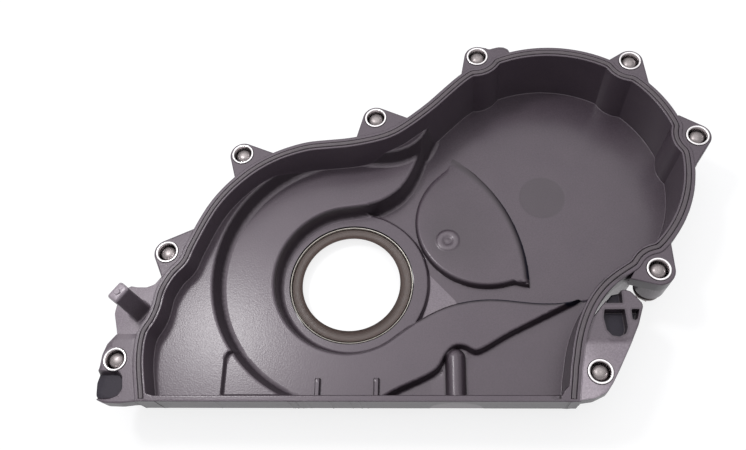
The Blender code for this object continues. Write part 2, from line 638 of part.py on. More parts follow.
def cover_body():
    """The moulding: rim, terraces, dome, collar, lugs and sump rail in one piece."""
    outer = cut_below(rim_path(), RAIL_FACE_Y)
    bottom = -(DOME_DEPTH + WALL)
    body = prism("cover_body", [thin_out(outer)], bottom, OVERRUN, DOME_EDGE_ROUNDING, parts)
    boolean(body, box("above_flange", (-FAR, -FAR, 0), (FAR, FAR, FAR)), "DIFFERENCE")
    for hollow in underside():
        boolean(body, hollow, "DIFFERENCE")
    boolean(body, lugs(), "UNION")
    low_plate = prism("low_plate", [metres(LOW_PLATE)], -(LOW_PLATE_DEPTH + LOW_PLATE_THICKNESS),
                      -LOW_PLATE_DEPTH)
    boolean(body, low_plate, "UNION")
    bump_low = -(BUMP_DEPTH + BUMP_THICKNESS)
    boolean(body, cylinders("bump", [BUMP_PLACE], BUMP_RADIUS, bump_low, -BUMP_DEPTH, SMALL_ROUND), "UNION")
    boss_low = -SLEEVE_LENGTH + SEAT_GAP
    boss_top = -LUG_STEP - OVERLAP
    centres = bolt_centres()
    corner = centres.pop(CORNER_BOLT)
    boolean(body, cylinders("bosses", centres, boss_radius(0), boss_low, boss_top, BORE_ROUND), "UNION")
    corner_radius = boss_radius(CORNER_BOLT)
    boolean(body, cylinders("corner_boss", [corner], corner_radius, boss_low, boss_top, BORE_ROUND), "UNION")
    boolean(body, cover_cavity(), "DIFFERENCE")
    rail_top = RAIL_FACE_Y + RAIL_WIDTH
    for start, end in RAIL_NOTCHES:
        notch = box("rail_notch", (start * MM, -FAR, -RAIL_NOTCH_DEPTH), (end * MM, rail_top + WALL, FAR))
        boolean(body, notch, "DIFFERENCE")
    bores = cylinders("sleeve_bores", bolt_centres(), SLEEVE_OUTER_RADIUS + SEAT_GAP, -FAR, FAR, BORE_ROUND)
    boolean(body, bores, "DIFFERENCE")
    seal_bore = cylinders("seal_bore", [(0, 0)], SEAL_RADIUS + SEAT_GAP, -FAR, FAR, LARGE_ROUND)
    boolean(body, seal_bore, "DIFFERENCE")
    groove = prism("gasket_groove", [band(gasket_line(), GASKET_WIDTH + 2 * SEAT_GAP)],
                   -(GASKET_HEIGHT - GASKET_STANDS_PROUD + SEAT_GAP), WALL)
    boolean(body, groove, "DIFFERENCE")
    boolean(body, peg(), "UNION")
    return body


def peg():
    """Upright bar with two flat sides, rounded edges and a small nub on its end."""
    corners = []
    across = PEG_WIDTH / 2 - PEG_CORNER_RADIUS
    deep = PEG_THICKNESS / 2 - PEG_CORNER_RADIUS
    for start, x, y in ((0, across, deep), (90, -across, deep), (180, -across, -deep), (270, across, -deep)):
        angles = np.radians([start, start + 45, start + 90])
        corners.append(np.column_stack([x + PEG_CORNER_RADIUS * np.cos(angles),
                                        y + PEG_CORNER_RADIUS * np.sin(angles)]))
    foot = -(LOW_PLATE_DEPTH + LOW_PLATE_THICKNESS / 2)
    bar = prism("peg", [np.vstack(corners)], foot, PEG_TOP, PEG_ROUNDING)
    nub = cylinders("peg_nub", [(0, 0)], PEG_NUB_RADIUS, foot, PEG_TOP + PEG_NUB_HEIGHT, PIP_ROUND)
    place = Matrix.Translation((*PEG_PLACE, 0)) @ Matrix.Rotation(radians(PEG_TURN), 4, "Z")
    for piece in (bar, nub):
        piece.matrix_world = place @ piece.matrix_world
    boolean(bar, nub, "UNION")
    return bar


def perimeter_gasket():
    bottom = -(GASKET_HEIGHT - GASKET_STANDS_PROUD)
    line = gasket_line()[GASKET_END_DROPS:-GASKET_END_DROPS]
    return prism("perimeter_gasket", [band(line, GASKET_WIDTH)], bottom, GASKET_STANDS_PROUD, 0, parts)


def seal_case():
    """Steel case of the crank seal, an L section."""
    top = -(COLLAR_DEPTH + SEAL_SET_BACK)
    bottom = top - SEAL_HEIGHT
    inner = SEAL_RADIUS - SEAL_CASE_WALL
    floor_radius = SEAL_RADIUS - SEAL_CASE_FLOOR
    profile = [(SEAL_RADIUS, top), (SEAL_RADIUS, bottom), (floor_radius, bottom),
               (floor_radius, bottom + SEAL_CASE_WALL), (inner, bottom + SEAL_CASE_WALL), (inner, top)]
    return turned("seal_case", profile, SEAL_ROUND, parts)


def seal_lip():
    """Seal lip, a shallow funnel that runs in to the shaft."""
    top = -(COLLAR_DEPTH + SEAL_SET_BACK + SEAL_LIP_SET_BACK)
    outer = SEAL_RADIUS - SEAL_CASE_WALL - SEAT_GAP
    lip = top - SEAL_LIP_DROP
    profile = [(outer, top), (outer, top - SEAL_LIP_THICKNESS),
               (SHAFT_RADIUS, lip - SEAL_LIP_THICKNESS), (SHAFT_RADIUS, lip)]
    return turned("seal_lip", profile, SEAL_ROUND, parts)


def sleeve(number, place):
    """Compression sleeve that carries the bolt load past the plastic."""
    profile = [(SLEEVE_OUTER_RADIUS, 0), (SLEEVE_OUTER_RADIUS, -SLEEVE_LENGTH),
               (SLEEVE_INNER_RADIUS, -SLEEVE_LENGTH), (SLEEVE_INNER_RADIUS, 0)]
    made = turned("sleeve_%d" % number, profile, SMALL_ROUND, parts)
    made.location = (place[0], place[1], 0)
    return made


def bolt(number, place):
    """Captive flange bolt, drawn back so that its tip lies just under the flange face."""
    seat = -(BOLT_SET_BACK + BOLT_LENGTH)
    tip = -BOLT_SET_BACK
    shoulder = tip - BOLT_TIP_HEIGHT
    flange_low = seat - BOLT_FLANGE_HEIGHT
    profile = [(0, tip), (BOLT_TIP_FLAT, tip - BOLT_TIP_CROWN), (BOLT_RADIUS, shoulder),
               (BOLT_RADIUS, seat), (BOLT_FLANGE_RADIUS, seat), (BOLT_FLANGE_RADIUS, flange_low),
               (0, flange_low)]
    made = turned("bolt_%d" % number, profile, BOLT_ROUND, parts)
    made.location = (place[0], place[1], 0)
    hex_low = flange_low - BOLT_HEX_HEIGHT
    hex_high = flange_low + OVERLAP
    solid = bmesh.new()
    centre = Matrix.Translation((place[0], place[1], (hex_low + hex_high) / 2))
    bmesh.ops.create_cone(solid, cap_ends=True, segments=6, radius1=BOLT_HEX_RADIUS,
                          radius2=BOLT_HEX_RADIUS, depth=hex_high - hex_low, matrix=centre)
    mesh = bpy.data.meshes.new("bolt_head")
    solid.to_mesh(mesh)
    solid.free()
    boolean(made, add_object("bolt_head_%d" % number, mesh, cutters), "UNION")
    return made


def finish(made, look, root):
    made.data.materials.append(look)
    made.parent = root


def settle(root):
    """Moves the whole cover so that the middle of its underside is the origin."""
    bpy.context.view_layer.update()
    graph = bpy.context.evaluated_depsgraph_get()
    corners = []
    for made in parts.objects:
        if made.type == "MESH":
            seen = made.evaluated_get(graph)
            corners += [seen.matrix_world @ vertex.co for vertex in seen.data.vertices]
    places = np.array(corners)
    low, high = places.min(axis=0), places.max(axis=0)
    root.location = (-(low[0] + high[0]) / 2, -(low[1] + high[1]) / 2, -low[2])


def build():
    clear_scene()
    root = bpy.data.objects.new("cover_origin", None)
    parts.objects.link(root)
    finish(cover_body(), material("cover_plastic", (0.13, 0.12, 0.13), 0.5, 0.0), root)
    finish(perimeter_gasket(), material("gasket_rubber", (0.10, 0.09, 0.10), 0.6, 0.0), root)
    finish(seal_case(), material("seal_steel", (0.6, 0.58, 0.55), 0.25, 1.0), root)
    finish(seal_lip(), material("seal_lip_brown", (0.17, 0.12, 0.10), 0.45, 0.0), root)
    for index, place in enumerate(bolt_centres()):
        number = index + 1
        finish(sleeve(number, place), material("sleeve_steel_%d" % number, (0.8, 0.8, 0.8), 0.2, 1.0), root)
        finish(bolt(number, place), material("bolt_steel_%d" % number, (0.5, 0.5, 0.5), 0.3, 1.0), root)
    for tool in cutters.objects:
        tool.parent = root
    join_all()
    settle(root)


build()
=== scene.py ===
from math import ceil, cos, pi, radians, sin, tan
import bmesh
import bpy
import numpy as np
from mathutils import Matrix, Vector
from mathutils.geometry import delaunay_2d_cdt


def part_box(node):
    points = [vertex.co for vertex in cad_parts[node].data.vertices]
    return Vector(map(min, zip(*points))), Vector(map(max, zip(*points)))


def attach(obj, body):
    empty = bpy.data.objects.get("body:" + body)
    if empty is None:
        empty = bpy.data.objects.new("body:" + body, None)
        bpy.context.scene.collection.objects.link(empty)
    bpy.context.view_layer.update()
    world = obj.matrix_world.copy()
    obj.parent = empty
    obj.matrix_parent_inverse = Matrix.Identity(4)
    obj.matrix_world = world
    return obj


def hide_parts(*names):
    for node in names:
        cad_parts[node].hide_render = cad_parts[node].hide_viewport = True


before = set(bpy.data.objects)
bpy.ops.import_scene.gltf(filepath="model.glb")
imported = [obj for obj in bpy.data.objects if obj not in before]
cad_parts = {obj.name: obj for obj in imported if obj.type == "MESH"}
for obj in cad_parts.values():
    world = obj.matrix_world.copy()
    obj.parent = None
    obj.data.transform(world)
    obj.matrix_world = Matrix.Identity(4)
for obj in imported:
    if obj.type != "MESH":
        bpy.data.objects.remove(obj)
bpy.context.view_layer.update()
print("frame loaded")

# Every place below is in millimetres from the crank axis and the engine face of the flange.
millimetre = 0.001
sealLow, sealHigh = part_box("seal_case")
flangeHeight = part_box("sleeve_1")[1].z
crankPlace = np.array([(sealLow.x + sealHigh.x) / 2, (sealLow.y + sealHigh.y) / 2, flangeHeight])


def toFrame(points):
    # millimetres from the crank axis, to metres in the frame
    return np.asarray(points, float) * millimetre + crankPlace


coverValues = {
    # depths below the flange, and steps as (foot radius, lip radius, draft)
    "plateauDepth": 11.3, "pocketDepth": 13.4, "spiralDepth": 20.0, "fieldDepth": 24.5, "collarDepth": 29.0,
    "domeDepth": 32.0, "wall": 2.8, "thinnest": 0.8, "plateauStep": (2.4, 1.5, 1.3), "spiralStep": (2.0, 1.6, 0.7),
    "fieldStep": (1.0, 1.3, 0.5), "collarStep": (0.8, 1.0, 0.3), "ledgeStep": (0.5, 0.5, 0.2),
    "outerStep": (0.5, 0.5, 0.5), "outerRailStep": (0.1, 0.3, 0.2), "bottomRounding": 1.5,
    # rim, gasket groove and sump rail
    "flangeWidth": 5.2, "innerDraft": 0.3, "rimFoot": 0.3, "rimLip": 0.4, "rimStep": (0.12, 0.35, 0.12),
    "rimRounding": 0.35, "rimClearance": 7.25, "grooveStart": 1.75, "grooveEnd": 4.25, "grooveDepth": 2.2,
    "grooveDraft": 0.07, "railFace": -63.5, "railWidth": 2.7, "railHeight": 14.1, "railEdge": 1.2,
    "railRecess": {"x": 49.7, "radius": 11.5, "depth": 1.0}, "notchEnds": (89.5, 92.5), "notchDepth": 4.5,
    "notchDraft": 0.12, "edgeDraft": 0.1,
    # bay, plateau, spiral and seal collar
    "domeCentre": (96.0, 49.0), "domeRadius": 60.1, "plateauRadius": 62.3, "spiralRadius": 36.5,
    "spiralDrawIn": 1.0, "collarRadius": 38.0, "sealBore": 30.6, "pocketEase": 1.6, "facetSlope": 0.07,
    # pad with its gate mark, and the disc in the bay floor
    "padCentre": (66.6, 32.6), "padRadius": 35.4, "pulleyRadius": 86.2, "padRise": 3.8, "padTilt": 3.3,
    "padArcEnds": (-1.7, 53.9), "padCircleEnds": (122.8, 289.4), "padFall": 3.4, "padEdge": 2.2,
    "gatePlace": (47.4, 22.0), "gateRing": (4.0, 2.1), "gateDot": 1.4, "gateHeight": 0.6,
    "discPlace": (95.3, 45.8), "discRadius": 11.4, "discDepth": 0.12,
    # sump boss and the two bars beside it
    "bossX": 49.7, "sumpBossRadius": 4.7, "sumpBossEnd": -39.0, "bossBlend": 1.2,
    "barX": (-12.4, 14.3), "barWidth": 2.3, "barEnd": -49.0, "barHeight": 2.0, "barStep": (0.25, 0.3, 0.15),
    # lugs and their cores
    "sleeveBore": 5.5, "bossRadius": 6.4, "cornerBossRadius": 7.2, "cornerBolt": 7, "bossDepth": 19.7,
    "lugDepth": 8.0, "lugStep": 0.6, "lugRounding": 0.6, "bumpRounding": 1.8, "leftCoreDepth": 4.0,
    "leftCoreDraft": 1.6, "rightCoreDepth": 6.4, "rightCoreDraft": 0.4, "rightStepDepth": 2.0, "rightStepY": -37.6,
    "rightSlope": 5.2, "bossDraft": 0.15,
    # low plate and peg: the foot as (inset, rise), the top edge as (inset, drop)
    "lowPlateDepth": 12.0, "lowPlateThick": 3.5, "plateRounding": 0.4, "pegPlace": (-97.5, -18.6), "pegWidth": 8.9,
    "pegThickness": 6.2, "pegTurn": 53.0, "pegTop": 15.0, "pegCorner": 1.2, "nubRadius": 1.4, "nubHeight": 0.6,
    "nubDraft": 0.2,
    "pegFoot": ((-0.9, 0), (-0.5, 0.15), (-0.25, 0.4), (0, 0.8)),
    "pegEdge": ((0.12, 1.6), (0.35, 0.8), (0.7, 0.25), (1.1, 0)),
    "spacing": 1.1,
}
# 0 is the painted shade of a dark recess, 0.5 plain plastic and 1 the painted sheen of the palest web; "less" and
# "more" are taken off or added
toneValues = {
    "plain": 0.5, "discLess": 0.2, "facetReflectionMore": 0.2, "gateLess": 0.2, "gateRingHighlightMore": 0.06, "padFlankShadeLess": 0.33,
    "spiralStartShadeLess": 0.33, "terraceShadeLess": 0.3, "outerWall": 0.12, "lug": 0.55, "rightLugSheenMore": 0.19,
    "nearRimSheenMore": 0.4, "rightCore": (0.3, 0.25), "leftCore": 0.06, "pegTop": 0.87, "pegSide": 0.62,
    "lowPlate": 0.72,
    # where the tone changes lie: the darker ring round the gate mark, the painted shade on the pad's flank and
    # along the spiral's start, the painted sheen beside the rim
    "gateDull": (5.0, 10.8, 1.5), "flankFade": (1.9, 1.7), "startLine": (1.3, 1.5), "startFade": (32, 4),
    "nearRim": (112, 0.45, -50, 14),
}
boltPlaces = [(-100.7, -44.8), (-83.7, 6.4), (-52.2, 57.9), (13.2, 76.2), (64.1, 110.6),
              (138.7, 104.2), (164.6, 60.5), (138.6, -5.9), (109.4, -50.9)]
rightSide = [(100.2, -76), (100.4, -63.5), (101.5, -56), (102.9, -48), (104.4, -40), (106.6, -32.5),
             (109.7, -25.3), (113.9, -18.6), (119, -13.2), (125, -8.8), (131.5, -4.8), (138.5, -0.2)]
leftSide = [(40, 85.2), (34.8, 80.6), (29.5, 76.3), (24.5, 72.6), (20, 69.9), (15, 68.1), (10, 66.9),
            (0, 65.2), (-10, 64.5), (-20, 63.7), (-30, 61), (-38, 57.7), (-46, 53),
            (-53, 47.3), (-60, 40), (-66, 31.5), (-70.5, 22.3), (-73.8, 14), (-77, 6),
            (-81, -0.5), (-84.5, -6.5), (-87, -13), (-87.6, -19.5), (-89.3, -25.5), (-92.2, -30.5),
            (-93, -37), (-92.6, -45), (-91.4, -52), (-89.9, -58.5), (-88.9, -63.5), (-88.4, -76)]
plateauTip = [(21.7, 61.5), (29.4, 63.9), (36.3, 69.2), (41.5, 79.5), (45.5, 96), (48, 150)]
spiralStart = [(150, -6), (125, -8), (111, -10.5), (100, -13), (90, -13.2), (80, -12.2),
               (70, -11), (60, -11.2), (50, -13), (43, -15.5), (36, -19)]
spiralTip = [(10, 37.7), (20, 42.2), (27, 49), (32, 58.5), (35.5, 68), (39.5, 84), (44, 150)]
fieldEdge = [(-4, -72), (14.5, -60), (23, -54.8), (31.8, -50.8), (39.8, -46.7), (42.9, -43.8),
             (45.2, -39.3), (48, -35.6), (51.6, -34.2), (55.6, -35.4), (59, -37), (75, -28.6), (91, -20.6),
             (107, -12.6), (150, 9)]
lugRoots = {1: [(-84.5, -7), (-72, 18.5)], 2: [(-55, 44.5), (-35.5, 57.8)], 3: [(3.5, 64.5), (30, 75.5)],
            4: [(55.5, 98.5), (84.5, 111.5)], 5: [(127, 104.5), (146.5, 90)],
            6: [(157.5, 72.5), (161, 44)], 7: [(145.5, 7), (126, -10)]}
leftLug = [(-88, -63.4), (-91, -63.6), (-96.2, -64.2), (-103, -64), (-106.6, -62.6), (-108.4, -60),
           (-108.9, -54.5), (-107.4, -48), (-107.2, -42.7), (-105.7, -37.7), (-101.9, -32.9), (-88, -33)]
rightLug = [(99, -63), (106, -62), (111.4, -59.4), (114.1, -55.6), (117.4, -49.9), (124.3, -37),
            (127.7, -30), (130.4, -22), (130.2, -20.6), (126, -15.3), (123.6, -14.4), (118.5, -15.4),
            (104, -32), (99, -50)]
lowPlate = [(-86, -36), (-105.5, -36), (-107.3, -28.7), (-109.9, -19.7), (-109.2, -13), (-106.8, -8),
            (-104, -6), (-100.7, -6.6), (-96.1, -6.7), (-92.4, -5.3), (-89.1, -0.8), (-84, 2)]
railFeet = [[(-89, -56.6), (-86.2, -57.8), (-83.6, -59.8), (-80.6, -60.6), (-79.6, -66), (-89, -66)],
            [(101, -56), (96.6, -56.2), (94.6, -57.4), (92.5, -60.4), (92.5, -66), (101, -66)]]
bumpOutline = [(60, 108), (68.5, 115.6), (70.6, 115.8), (72.6, 116.4), (75.2, 116.9), (77.8, 116.6),
               (80, 115.2), (81.2, 112.5), (82, 109), (72, 106)]
pocketOutline = [(-54, -100), (-54, -41.5), (-53, -39.2), (-50.8, -38.2), (-30, -38.2), (-10, -100)]
facetOutline = [(30, 14), (38.2, 5.1), (50.8, -8.7), (52, -14), (30, -24)]
leftCore = [(-120, -49.6), (-98.6, -49.6), (-96.2, -52), (-95.2, -58), (-97, -61), (-101, -62.6),
            (-120, -62.8)]
rightCores = [[(114, -32.5), (116, -35), (119, -35.6), (121.8, -34.2), (122.8, -31.5), (122.4, -23.4),
               (113.9, -23.4), (113.2, -27)],
              [(125.2, -23.4), (128.6, -23.4), (127.4, -27.6), (126.2, -28.4), (125.2, -27.8)],
              [(115, -20.6), (121.9, -20.6), (121.9, -10), (115, -10)]]


def limited(share):
    # a share kept between 0 and 1
    return np.clip(share, 0, 1)


def eased(share):
    # a share that starts and ends level
    share = limited(share)
    return share * share * (3 - 2 * share)


def splineThrough(points, step):
    # centripetal spline through an open list of points: neighbours blended over their knots, three times
    points = np.asarray(points, float)
    ends = np.vstack([2 * points[0] - points[1], points, 2 * points[-1] - points[-2]])
    knots = np.concatenate([[0], np.cumsum(np.sqrt(np.linalg.norm(np.diff(ends, axis=0), axis=1)))])
    pieces = []
    for i in range(1, len(ends) - 2):
        k, blends = knots[i - 1:i + 3], ends[i - 1:i + 3]
        count = max(2, ceil(np.linalg.norm(ends[i + 1] - ends[i]) / step))
        t = np.linspace(k[1], k[2], count, endpoint=False)[:, None]
        for spans in (((0, 1), (1, 2), (2, 3)), ((0, 2), (1, 3)), ((1, 2),)):
            blends = [((k[b] - t) * p + (t - k[a]) * q) / (k[b] - k[a])
                      for (a, b), p, q in zip(spans, blends, blends[1:])]
        pieces.append(blends[0])
    return np.vstack(pieces + [points[-1:]])


def arcPoints(centre, radius, start, end, step):
    # points on a circle, from one angle to another in degrees
    count = max(3, ceil(abs(radians(end - start)) * radius / step))
    angles = np.radians(np.linspace(start, end, count))
    return np.column_stack([centre[0] + radius * np.cos(angles), centre[1] + radius * np.sin(angles)])


def evenSteps(points, step):
    # the same path with points at even distances
    lengths = np.concatenate([[0], np.cumsum(np.linalg.norm(np.diff(points, axis=0), axis=1))])
    marks = np.linspace(0, lengths[-1], ceil(lengths[-1] / step) + 1)
    return np.column_stack([np.interp(marks, lengths, points[:, i]) for i in (0, 1)])


def leftOf(points):
    # unit vectors to the left of a path's direction
    along = np.gradient(points, axis=0)
    along /= np.linalg.norm(along, axis=1)[:, None]
    return np.column_stack([-along[:, 1], along[:, 0]])


def shiftLeft(points, distance):
    # an open path moved sideways
    return points + distance * leftOf(points)


def offsets(path, distances):
    return [shiftLeft(path, distance) for distance in distances]


def evened(path, rounds):
    # each point moves half way to the middle of its neighbours, several times over
    path = path.copy()
    for _ in range(rounds):
        path[1:-1] = (path[:-2] + 2 * path[1:-1] + path[2:]) / 4
    return path


def rimPath(v):
    # outer edge of the rim: right side, dome and left side, pushed off the bolts and smoothed
    step = 0.8
    dome = arcPoints(v["domeCentre"], v["domeRadius"] + v["flangeWidth"], -42, 141, 3.2)
    path = evenSteps(splineThrough(np.vstack([rightSide, dome[::4], leftSide]), step), step)
    for place in boltPlaces:
        away = path - np.array(place)
        distance = np.linalg.norm(away, axis=1)[:, None]
        path = np.where(distance < v["rimClearance"], place + away * v["rimClearance"] / distance, path)
    return evenSteps(evened(path, 10), v["spacing"])


def plateauPath(v):
    circle = arcPoints((0, 0), v["plateauRadius"], 248, 81, 3.2)
    straightOn = circle[0] + (circle[0] - circle[1]) * 12
    tip = splineThrough(np.vstack([circle[-4::3], plateauTip]), 0.8)
    return evened(evenSteps(np.vstack([[straightOn], circle[:-4], tip]), v["spacing"]), 12)


def spiralPath(v):
    circle = arcPoints((0, 0), v["spiralRadius"], -45, -272, 3.2)
    # the circle draws in towards its left side
    drawnIn = v["spiralDrawIn"] * limited(-circle[:, 0] / v["spiralRadius"])
    circle *= 1 - drawnIn[:, None] / v["spiralRadius"]
    start = splineThrough(np.vstack([spiralStart, circle[:4:3]]), 0.8)
    tip = splineThrough(np.vstack([circle[-4::3], spiralTip]), 0.8)
    return evened(evenSteps(np.vstack([start[:-1], circle[3:-4], tip]), v["spacing"]), 12)


def closedLoop(points, step):
    # a closed outline with points at even distances, the first repeated last
    points = np.asarray(points, float)
    return evenSteps(np.vstack([points, points[:1]]), step)


def hullOf(points):
    # convex outline round a set of points, as a chain along each side of the points sorted by x
    points = np.unique(np.round(points, 6), axis=0)
    chains = []
    for ordered in (points, points[::-1]):
        chain = []
        for p in ordered:
            while len(chain) > 1 and np.cross(chain[-1] - chain[-2], p - chain[-1]) <= 0:
                chain.pop()
            chain.append(p)
        chains.append(chain[:-1])
    return np.array(chains[0] + chains[1])


def inBlocks(points, rule):
    # a rule worked out for a few thousand points at a time, which spares memory
    return np.concatenate([rule(points[first:first + 4000]) for first in range(0, len(points), 4000)])


def distanceTo(points, path):
    # distance to an open path, positive on its left side
    start, along = path[:-1], np.diff(path, axis=0)
    lengths = (along ** 2).sum(axis=1)

    def toNearest(spots):
        gap = spots[:, None] - start
        gap = gap - limited((gap * along).sum(axis=2) / lengths)[..., None] * along
        squares = (gap ** 2).sum(axis=2)
        nearest = squares.argmin(axis=1)
        rows = np.arange(len(spots))
        side = np.cross(along[nearest], gap[rows, nearest])
        return np.sqrt(squares[rows, nearest]) * np.where(side >= 0, 1, -1)

    return inBlocks(points, toNearest)


def insideOf(points, loop):
    # even-odd test against a closed outline
    (x1, y1), (x2, y2) = loop[:-1].T, loop[1:].T

    def crossedOdd(spots):
        x, y = spots.T[:, :, None]
        with np.errstate(divide="ignore", invalid="ignore"):
            meeting = x1 + (y - y1) * (x2 - x1) / (y2 - y1)
        return (((y1 > y) != (y2 > y)) & (x < meeting)).sum(axis=1) % 2 == 1

    return inBlocks(points, crossedOdd)


def distanceFrom(points, place):
    return np.hypot(*(points - np.array(place)).T)


def circles(centre, radii, step):
    return [arcPoints(centre, radius, 0, 360, step) for radius in radii]


def depthIn(points, loop):
    # distance to a closed outline, positive inside
    return np.abs(distanceTo(points, loop)) * np.where(insideOf(points, loop), 1, -1)


def stepUp(distance, low, high, foot, lip, draft):
    # a moulded wall: flat, quarter circle up, steep wall, quarter circle over, flat
    rise = np.maximum(high - low, 1e-6)
    shrink = np.minimum(1, rise / (foot + lip))
    foot = foot * shrink
    lip = lip * shrink
    a, b, c = limited(1 + distance / foot), limited(distance / draft), limited((distance - draft) / lip)
    height = low + foot * (1 - np.sqrt(1 - a ** 2)) + (rise - foot - lip) * b
    height = height + lip * np.sqrt(limited(1 - (1 - c) ** 2))
    return np.where(high > low, height, low)


def roundedDrop(radius, inset):
    # how far a quarter circle has fallen, at a distance from where it starts
    inset = np.clip(inset, 0, radius)
    return radius - np.sqrt(np.maximum(radius ** 2 - inset ** 2, 0))


def stepLines(foot, lip, draft):
    # offsets at which a moulded wall changes direction, with a guard line on each flat
    shares = (0.0, 0.134, 0.5, 1.0)
    up = [-foot * s for s in shares]
    over = [draft + lip * s for s in shares]
    return sorted(up + over + [-foot - 0.35, draft + lip + 0.35])


def turnedBy(points, degrees):
    (x, y), turn = points.T, radians(degrees)
    return np.column_stack([x * cos(turn) - y * sin(turn), x * sin(turn) + y * cos(turn)])


def pegDepth(points, v):
    # distance inside the rounded rectangle of the peg, negative outside
    away = np.abs(turnedBy(points - np.array(v["pegPlace"]), -v["pegTurn"]))
    across, deep = (away - np.array([v["pegWidth"], v["pegThickness"]]) / 2 + v["pegCorner"]).T
    outer = np.hypot(np.maximum(across, 0), np.maximum(deep, 0))
    return v["pegCorner"] - outer - np.minimum(np.maximum(across, deep), 0)


def pegOutline(v, inset):
    # rounded rectangle of the peg, drawn in by a distance
    radius = max(v["pegCorner"] - inset, 0.15)
    across = v["pegWidth"] / 2 - inset - radius
    deep = v["pegThickness"] / 2 - inset - radius
    corners = []
    for start, x, y in ((0, across, deep), (90, -across, deep), (180, -across, -deep), (270, across, -deep)):
        corners.append(arcPoints((x, y), radius, start, start + 90, 0.35))
    return closedLoop(turnedBy(np.vstack(corners), v["pegTurn"]) + np.array(v["pegPlace"]), 0.6)


def padLoop(v, reach, step, spacing):
    # the eye-shaped outline of the pad, drawn in by a distance
    right = arcPoints((0, 0), v["pulleyRadius"] - reach, *v["padArcEnds"], step)
    left = arcPoints(v["padCentre"], v["padRadius"] - min(reach, 2.3), *v["padCircleEnds"], step)
    return closedLoop(np.vstack([right, left]), spacing)


def bossRadiusAt(v, number):
    return v["cornerBossRadius"] if number == v["cornerBolt"] else v["bossRadius"]


def coverShapes(v):
    # every path and outline of the moulding, and the places where its walls start
    rim = rimPath(v)
    inRim = shiftLeft(rim, v["flangeWidth"] / 2)
    lugs = []
    for number, roots in lugRoots.items():
        ring = arcPoints(boltPlaces[number], bossRadiusAt(v, number), 0, 352, 0.8)
        nearest = inRim[np.linalg.norm(inRim - boltPlaces[number], axis=1).argmin()]
        lugs.append(closedLoop(hullOf(np.vstack([ring, roots, [nearest]])), v["spacing"]))
    outlines = {"pocket": pocketOutline, "leftLug": leftLug, "rightLug": rightLug, "lowPlate": lowPlate,
                "leftCore": leftCore}
    loops = {name: closedLoop(outline, v["spacing"]) for name, outline in outlines.items()}
    return {
        **loops, "rim": rim, "plateau": plateauPath(v), "spiral": spiralPath(v),
        "field": evenSteps(splineThrough(fieldEdge, 0.8), v["spacing"]), "pad": padLoop(v, 0, 0.9, v["spacing"]),
        "facet": closedLoop(facetOutline, 1.0), "bump": closedLoop(bumpOutline, 0.8),
        "lugs": lugs + [loops["leftLug"], loops["rightLug"]],
        "rightCores": [closedLoop(core, 0.6) for core in rightCores],
        "railFeet": [closedLoop(foot, 0.8) for foot in railFeet],
        "wallFoot": v["flangeWidth"] + v["innerDraft"],
        "railInner": v["railFace"] + v["railWidth"] + v["innerDraft"],
        "ledge": v["railFace"] + v["railWidth"] + v["wall"],
    }


